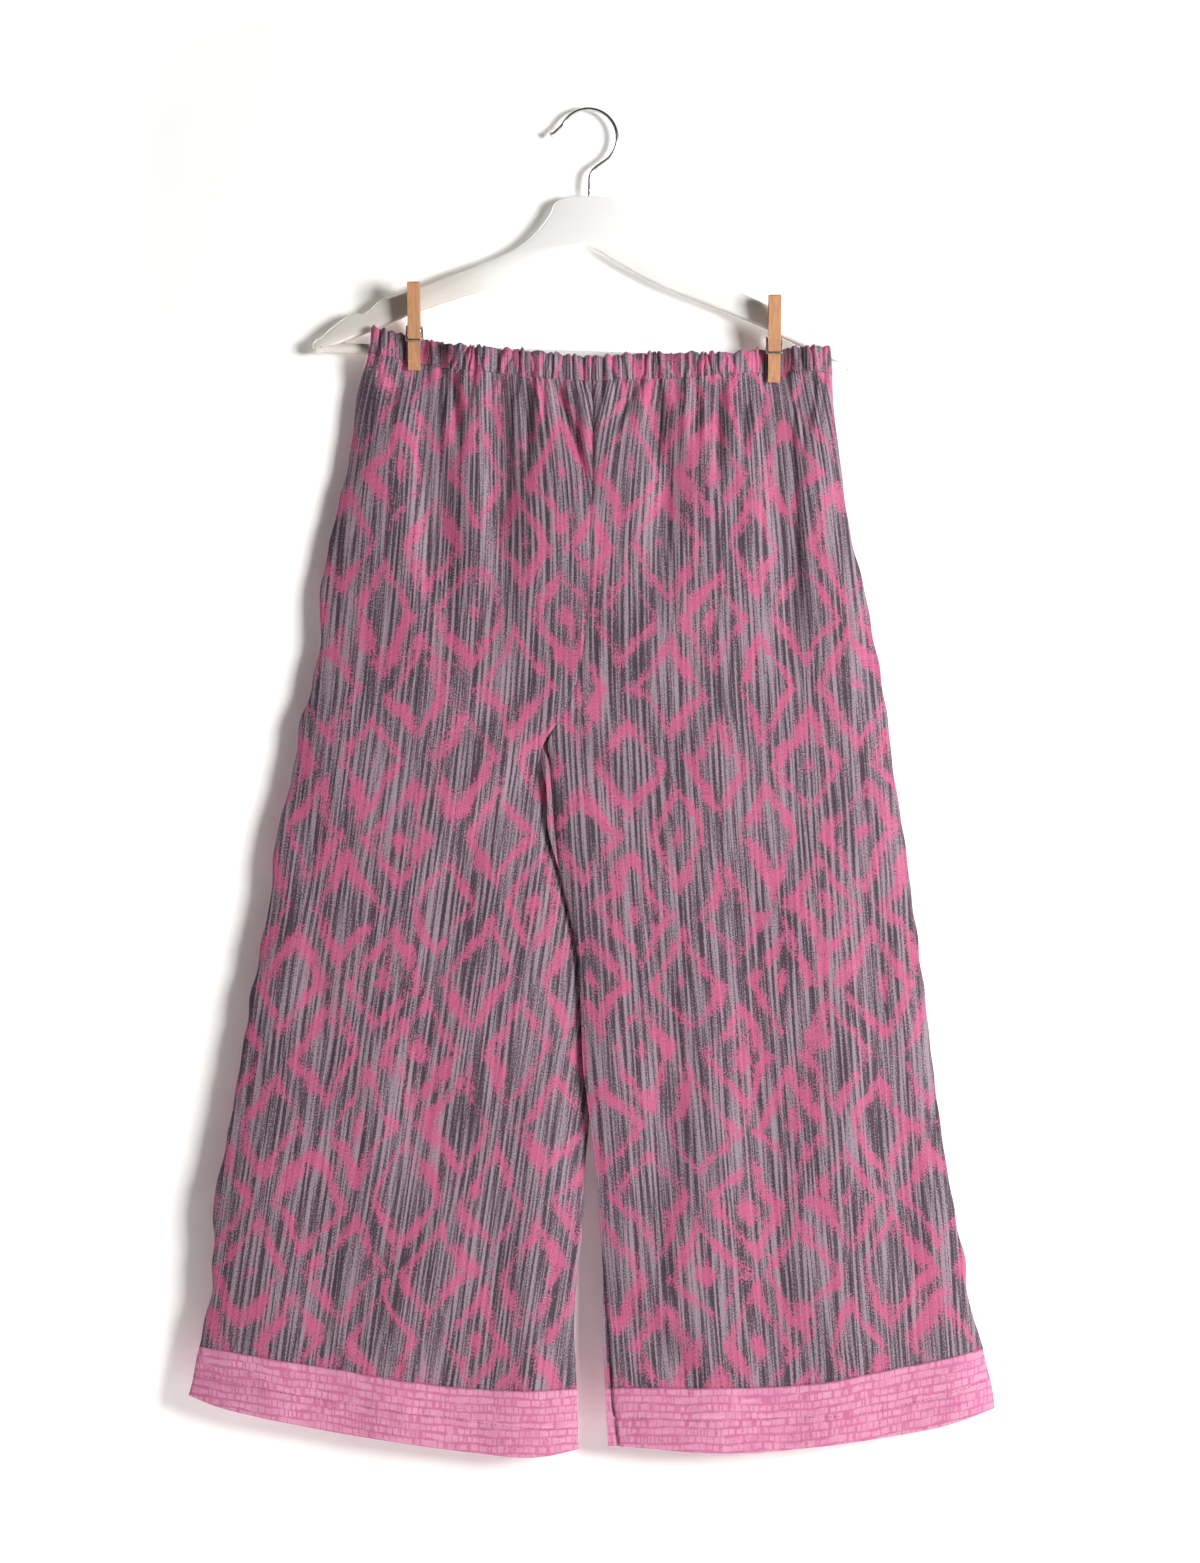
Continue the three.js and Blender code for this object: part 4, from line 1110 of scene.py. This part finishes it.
def makeHemBand(sideName, side, layer):
    look = hemLook

    def place(across, down):
        def dropAt(x):
            return hemSeam(x) * (1 - down) + hemEdge(x) * down

        x, drop = placeOnLeg(side, across, dropAt, side > 0 and layer == "front")
        apart = (look["backAt"] if layer == "back" else 0) + (look["leftAt"] if side > 0 else 0)
        return x, bandY(side, layer, x, drop), drop, (x - 40 * side + apart) * mm, (hemSeam(x) - drop) * mm

    shares = evenShares(look["columns"], panelLook["edgeShares"])
    rows = np.linspace(0, 1, look["rows"])
    return makeSheet(f"{sideName}_hem_{layer}", bandCloth, shares, rows, place)


def makeStitches(sideName, side, layer):
    look = hemLook
    bm = bmesh.new()
    for x in np.arange(*look["stitchesFrom"][sideName], look["stitchPitch"]):
        ends = np.array([x, x + look["stitchLength"]])
        drops = read(stitchLine, "x", "drop", ends)
        ys = bandY(np.array([side, side]), layer, ends, drops)
        first, second = (Vector(spot) * mm for spot in zip(ends, ys, -drops))
        direction = (second - first).normalized()
        turn = Vector((1, 0, 0)).rotation_difference(direction).to_matrix().to_4x4()
        radius = look["stitchRadius"] * mm
        size = Matrix.Diagonal(((second - first).length / 2, radius, radius, 1))
        middle = Matrix.Translation((first + second) / 2)
        bmesh.ops.create_icosphere(bm, subdivisions=1, radius=1, matrix=middle @ turn @ size)
    name = f"stitches_{sideName}_hem_{layer}"
    mesh = meshFrom(bm, name)
    mesh.shade_smooth()
    piece = addObject(name, mesh, sewingThread)
    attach(piece, "root")
    return piece


for sideName, side in (("right", -1), ("left", 1)):
    for layer in ("front", "back"):
        band = makeHemBand(sideName, side, layer)
        stitches = makeStitches(sideName, side, layer)
print("hem bands ready")

# Hard pieces: copies of the solids with softened edges, and wires that are drawn anew


def finishPiece(name, mesh, material, node):
    piece = addObject(name, mesh, material)
    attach(piece, "root")
    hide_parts(node)
    return piece


# Points this close in millimetres are merged, and faces this flat in degrees are joined; sharper edges stay
softening = {"loose": 0.002, "flat": 0.5, "smoothBelow": 32}


def makeSoftenedCopy(node, name, material, edge=0):
    mesh = nodes[node].data.copy()
    mesh.name = name
    bm = bmesh.new()
    bm.from_mesh(mesh)
    bmesh.ops.remove_doubles(bm, verts=bm.verts, dist=softening["loose"] * mm)
    flat = math.radians(softening["flat"])
    bmesh.ops.dissolve_limit(bm, angle_limit=flat, verts=bm.verts, edges=bm.edges)
    bm.to_mesh(mesh)
    bm.free()
    mesh.shade_smooth()
    sharp = math.radians(softening["smoothBelow"])
    mesh.set_sharp_from_angle(angle=sharp)
    piece = finishPiece(name, mesh, material, node)
    if edge:
        rounding = piece.modifiers.new("edges", "BEVEL")
        rounding.width = edge * mm
        rounding.segments = 2
        rounding.limit_method = "ANGLE"
        rounding.angle_limit = sharp
        rounding.harden_normals = True


# A round wire along a line of points in millimetres
def addWire(bm, points, radius, sides):
    line = np.array(points, float)
    steps = np.gradient(line, axis=0)
    steps /= np.linalg.norm(steps, axis=1)[:, None]
    made = bmesh.ops.create_grid(bm, x_segments=sides, y_segments=len(line) - 1, size=1)
    across = np.cross((0.31, 0.9, 0.17), steps[0])
    rings = []
    for step in steps:
        across = across - np.dot(across, step) * step
        across = across / np.linalg.norm(across)
        rings.append((across, np.cross(step, across)))
    for vert in made["verts"]:
        k = round((vert.co.y + 1) / 2 * (len(line) - 1))
        angle = math.pi * (vert.co.x + 1)
        first, second = rings[k]
        spot = line[k] + radius * (math.cos(angle) * first + math.sin(angle) * second)
        vert.co = Vector(spot) * mm
    bmesh.ops.remove_doubles(bm, verts=made["verts"], dist=0.001 * mm)


def wireMesh(name, bm):
    bmesh.ops.holes_fill(bm, edges=[edge for edge in bm.edges if edge.is_boundary], sides=0)
    bmesh.ops.recalc_face_normals(bm, faces=bm.faces)
    mesh = meshFrom(bm, name)
    mesh.shade_smooth()
    return mesh


# Points on a smooth curve through the given ones
def onCurve(points, perSpan):
    knots = np.array(points, float)
    padded = np.concatenate([2 * knots[:1] - knots[1:2], knots, 2 * knots[-1:] - knots[-2:-1]])
    spots = []
    for i in range(len(knots) - 1):
        before, start, end, after = padded[i : i + 4]
        for t in np.arange(perSpan) / perSpan:
            bend = 2 * before - 5 * start + 4 * end - after
            twist = 3 * start - before - 3 * end + after
            spots.append(0.5 * (2 * start + (end - before) * t + bend * t * t + twist * t**3))
    return np.array(spots + [knots[-1]])


# Arc: its first and last angle and the step, in degrees
hook = {
    "wireRadius": 1.5,
    "radius": 23.4,
    "centre": (-2.2, -21.9),
    "start": ((-32.2, 0, -20.6), (-30, 0, -18.9), (-27.6, 0, -16.6)),
    "arc": (156, -60, 6),
    "end": ((3, 0, -47.5), (0.6, 0, -52), (0, 0, -57), (0, 0, -70), (0, 0, -82)),
    "knobRadius": 2.6,
    "knobLength": 1.5,
    "sides": 20,
}


# The hanger hangs tilted on its hook
def onHanger(points):
    turn = Matrix.Rotation(hanger["tilt"], 3, "Y")
    return [tuple(turn @ Vector((x + hanger["axisX"], y, z))) for x, y, z in points]


def makeHook(look):
    path = list(look["start"])
    first, last, step = look["arc"]
    for degrees in range(first, last - 1, -step):
        angle = math.radians(degrees)
        x, z = look["centre"]
        path.append((x + look["radius"] * math.cos(angle), 0, z + look["radius"] * math.sin(angle)))
    path.extend(look["end"])
    points = onHanger(onCurve(path, 3))
    bm = bmesh.new()
    addWire(bm, points, look["wireRadius"], look["sides"])
    direction = (Vector(points[3]) - Vector(points[0])).normalized()
    turn = Vector((0, 0, 1)).rotation_difference(direction).to_matrix().to_4x4()
    place = Matrix.Translation(Vector(points[0]) * mm) @ turn
    size = Matrix.Diagonal((look["knobRadius"], look["knobRadius"], look["knobLength"], 1 / mm)) * mm
    bmesh.ops.create_uvsphere(bm, u_segments=24, v_segments=16, radius=1, matrix=place @ size)
    finishPiece("hook_wire", wireMesh("hook_wire", bm), chrome, "hanger_hook")


# Leans: each pin's front and rear prong, in degrees
pin = {
    "width": 10,
    "thickness": 6.2,
    "notchAt": 15.5,
    "notchAway": 0.65,
    "coilRadius": 3.6,
    "coilAboveBar": 15,
    "coilHalf": 5.4,
    "coilTurns": 7,
    "wireGrooveAt": 24.6,
    "wireRadius": 0.8,
    "wireSides": 10,
    "overWood": 0.15,
    "jawTipY": -7.77,
    "leans": {"pin_right": (12.5, 23), "pin_left": (17, 27.7)},
}


# Each prong's facing, its directions up and outwards, and its tip
def prongSides(leans):
    reach = pinPlaces["tipBelowBar"]
    jawTip = pin["jawTipY"] + hanger["clothSlope"] * (reach - hanger["clothTurnsBelowBar"])
    sides = []
    for facing, degrees in zip((-1, 1), leans):
        lean = math.radians(degrees)
        up = np.array((-math.sin(lean), math.cos(lean)))
        across = facing * np.array((math.cos(lean), math.sin(lean)))
        tip = across * pin["notchAway"] - up * pin["notchAt"]
        if facing < 0:
            tip = np.array((jawTip, -reach))
        sides.append((facing, up, across, tip))
    return sides


# The spring: a wound coil between the prongs, and an arm from each end round a prong's outer face
def makeSpring(pinName, pinX):
    sides = prongSides(pin["leans"][pinName])
    coilZ = pin["coilAboveBar"]
    coilY = sum(tip[0] + (coilZ - tip[1]) * up[0] / up[1] for facing, up, across, tip in sides) / 2
    rim = pin["coilRadius"] - pin["wireRadius"]
    turns = np.linspace(0, 2 * math.pi * pin["coilTurns"], 20 * pin["coilTurns"] + 1) + math.pi / 2
    along = np.linspace(-pin["coilHalf"], pin["coilHalf"], len(turns))
    coil = np.stack([along, coilY - rim * np.cos(turns), coilZ + rim * np.sin(turns)], axis=1)
    bm = bmesh.new()
    shift = np.array((pinX, 0, -float(barDropAt(pinX))))
    addWire(bm, coil + shift, pin["wireRadius"], pin["wireSides"])
    over = pin["width"] / 2 + cut["seamGap"]
    beside = over + pin["wireRadius"]
    reach = pin["thickness"] + pin["overWood"]
    # Each arm: sideways, outwards from the prong's inner face and up from the wire's groove
    bends = (
        (beside, reach - 1.1, 0.5),
        (over, reach, 0),
        (-over, reach, 0),
        (-beside, reach - 1.1, 0),
        (-beside, reach - 2.8, 0),
    )
    for facing, up, across, tip in sides:
        arm = [(beside * facing, coilY + facing * run, coilZ + rim) for run in (-0.8, 1.2)]
        for x, out, lift in bends:
            y, z = tip + across * out + up * (pin["wireGrooveAt"] + lift)
            arm.append((x * facing, y, z))
        addWire(bm, onCurve(arm, 4) + shift, pin["wireRadius"], pin["wireSides"])
    name = pinName + "_coil"
    finishPiece(name, wireMesh(name, bm), springSteel, pinName + "_spring")


makeHook(hook)
makeSoftenedCopy("hanger_body", "hanger_arms", whitePaint)
makeSoftenedCopy("hanger_bar", "trouser_bar", whitePaint)
for pinName, pinX in zip(("pin_right", "pin_left"), pinPlaces["x"]):
    for end in ("front", "rear"):
        makeSoftenedCopy(f"{pinName}_{end}_prong", f"{pinName}_{end}_wood", bareWood, edge=0.3)
    makeSpring(pinName, pinX)
print("hard pieces ready")

# Wall, floor and lights

# The wall glows away from glowCentre, and to the left of sideFrom, all in metres
stageLook = {
    "wallAtHook": 9,
    "wallLean": 0.020,  # how much further back it is for each millimetre down
    "wallHalf": 3500,
    "wallTop": 3300,
    "floorZ": -1900,
    "white": (1.0, 0.985, 0.965, 1),
    "floorWhite": (0.9, 0.89, 0.88, 1),
    "cornerGlow": 0.5,
    "glowCentre": (0.15, -0.45),
    "glowFrom": 0.64,
    "glowTo": 0.95,
    "sideGlow": 0.32,
    "sideFrom": -0.345,
    "sideTo": -0.45,
}


def makePlane(name, corners, material):
    bm = bmesh.new()
    bm.faces.new([bm.verts.new(Vector(corner) * mm) for corner in corners])
    addObject(name, meshFrom(bm, name), material)


# The wall is seen from the front only, and lets light from behind reach the garment's back
def makeWallPaint(look):
    material, tree = newTree("wallPaint")
    paint = addNode(tree, "ShaderNodeBsdfDiffuse", {"Color": look["white"]})
    clear = addNode(tree, "ShaderNodeBsdfTransparent")
    geometry = addNode(tree, "ShaderNodeNewGeometry")
    light = addNode(tree, "ShaderNodeLightPath")
    hidden = calc(tree, "MAXIMUM", geometry.outputs["Backfacing"], light.outputs["Is Shadow Ray"])
    # The corners and the side furthest from the key light are lifted to the same white
    place = split(tree, objectPlace(tree))
    x, z = look["glowCentre"]
    awayX = calc(tree, "SUBTRACT", place[0], x)
    awayZ = calc(tree, "SUBTRACT", place[2], z)
    squares = calc(tree, "MULTIPLY_ADD", awayX, awayX, calc(tree, "MULTIPLY", awayZ, awayZ))
    corners = ramp(tree, calc(tree, "SQRT", squares), look["glowFrom"], look["glowTo"])
    corners = calc(tree, "MULTIPLY", corners, look["cornerGlow"])
    beside = calc(tree, "SUBTRACT", 1.0, ramp(tree, place[0], look["sideTo"], look["sideFrom"]))
    strength = calc(tree, "MULTIPLY_ADD", beside, look["sideGlow"], corners)
    glow = addNode(tree, "ShaderNodeEmission", {"Color": look["white"], "Strength": strength})
    lit = addNode(tree, "ShaderNodeAddShader", {0: paint.outputs[0], 1: glow.outputs[0]})
    mix = addNode(tree, "ShaderNodeMixShader", {0: hidden, 1: lit.outputs[0], 2: clear.outputs[0]})
    addNode(tree, "ShaderNodeOutputMaterial", {"Surface": mix.outputs[0]})
    arrange(tree)
    return material


def makeFloorPaint(look):
    material, tree, shader = newMaterial("floorPaint")
    plug(tree, shader, {"Base Color": look["floorWhite"], "Roughness": 0.8})
    return material


def makeStage(look):
    half, top, floor = look["wallHalf"], look["wallTop"], look["floorZ"]
    low, high = (look["wallAtHook"] - look["wallLean"] * z for z in (floor, top))
    wall = [(-half, low, floor), (half, low, floor), (half, high, top), (-half, high, top)]
    makePlane("wall", wall, makeWallPaint(look))
    ground = [(-half, -half, floor), (half, -half, floor), (half, half, floor), (-half, half, floor)]
    makePlane("floor", ground, makeFloorPaint(look))


makeStage(stageLook)

lightsAimAt = (0, 0, -600)
lights = (
    {"name": "key", "place": (1800, -1950, -250), "size": 850, "power": 97},
    {"name": "front", "place": (-900, -3600, 300), "size": 2600, "power": 1.5},
    {"name": "rear", "place": (-1500, 2900, 700), "size": 1500, "power": 110},
)


def makeLight(look):
    lamp = bpy.data.lights.new(look["name"] + "Light", "AREA")
    lamp.size = look["size"] * mm
    lamp.energy = look["power"]
    holder = bpy.data.objects.new(look["name"] + "Light", lamp)
    place = Vector(look["place"]) * mm
    target = Vector(lightsAimAt) * mm
    facing = (target - place).to_track_quat("-Z", "Y")
    holder.matrix_world = Matrix.Translation(place) @ facing.to_matrix().to_4x4()
    scene.collection.objects.link(holder)


for look in lights:
    makeLight(look)


def makeSurroundings(look):
    world = bpy.data.worlds.new("studio")
    world.use_nodes = True
    tree = world.node_tree
    seen = addNode(tree, "ShaderNodeLightPath").outputs["Is Camera Ray"]
    strength = calc(tree, "MULTIPLY_ADD", seen, look["seen"], look["light"])
    plug(tree, tree.nodes["Background"], {"Color": look["colour"], "Strength": strength})
    scene.world = world


makeSurroundings({"colour": (1.0, 0.95, 0.90, 1), "seen": 0.75, "light": 0.035})
scene.view_settings.view_transform = "Standard"
print("stage ready")

bpy.context.view_layer.update()
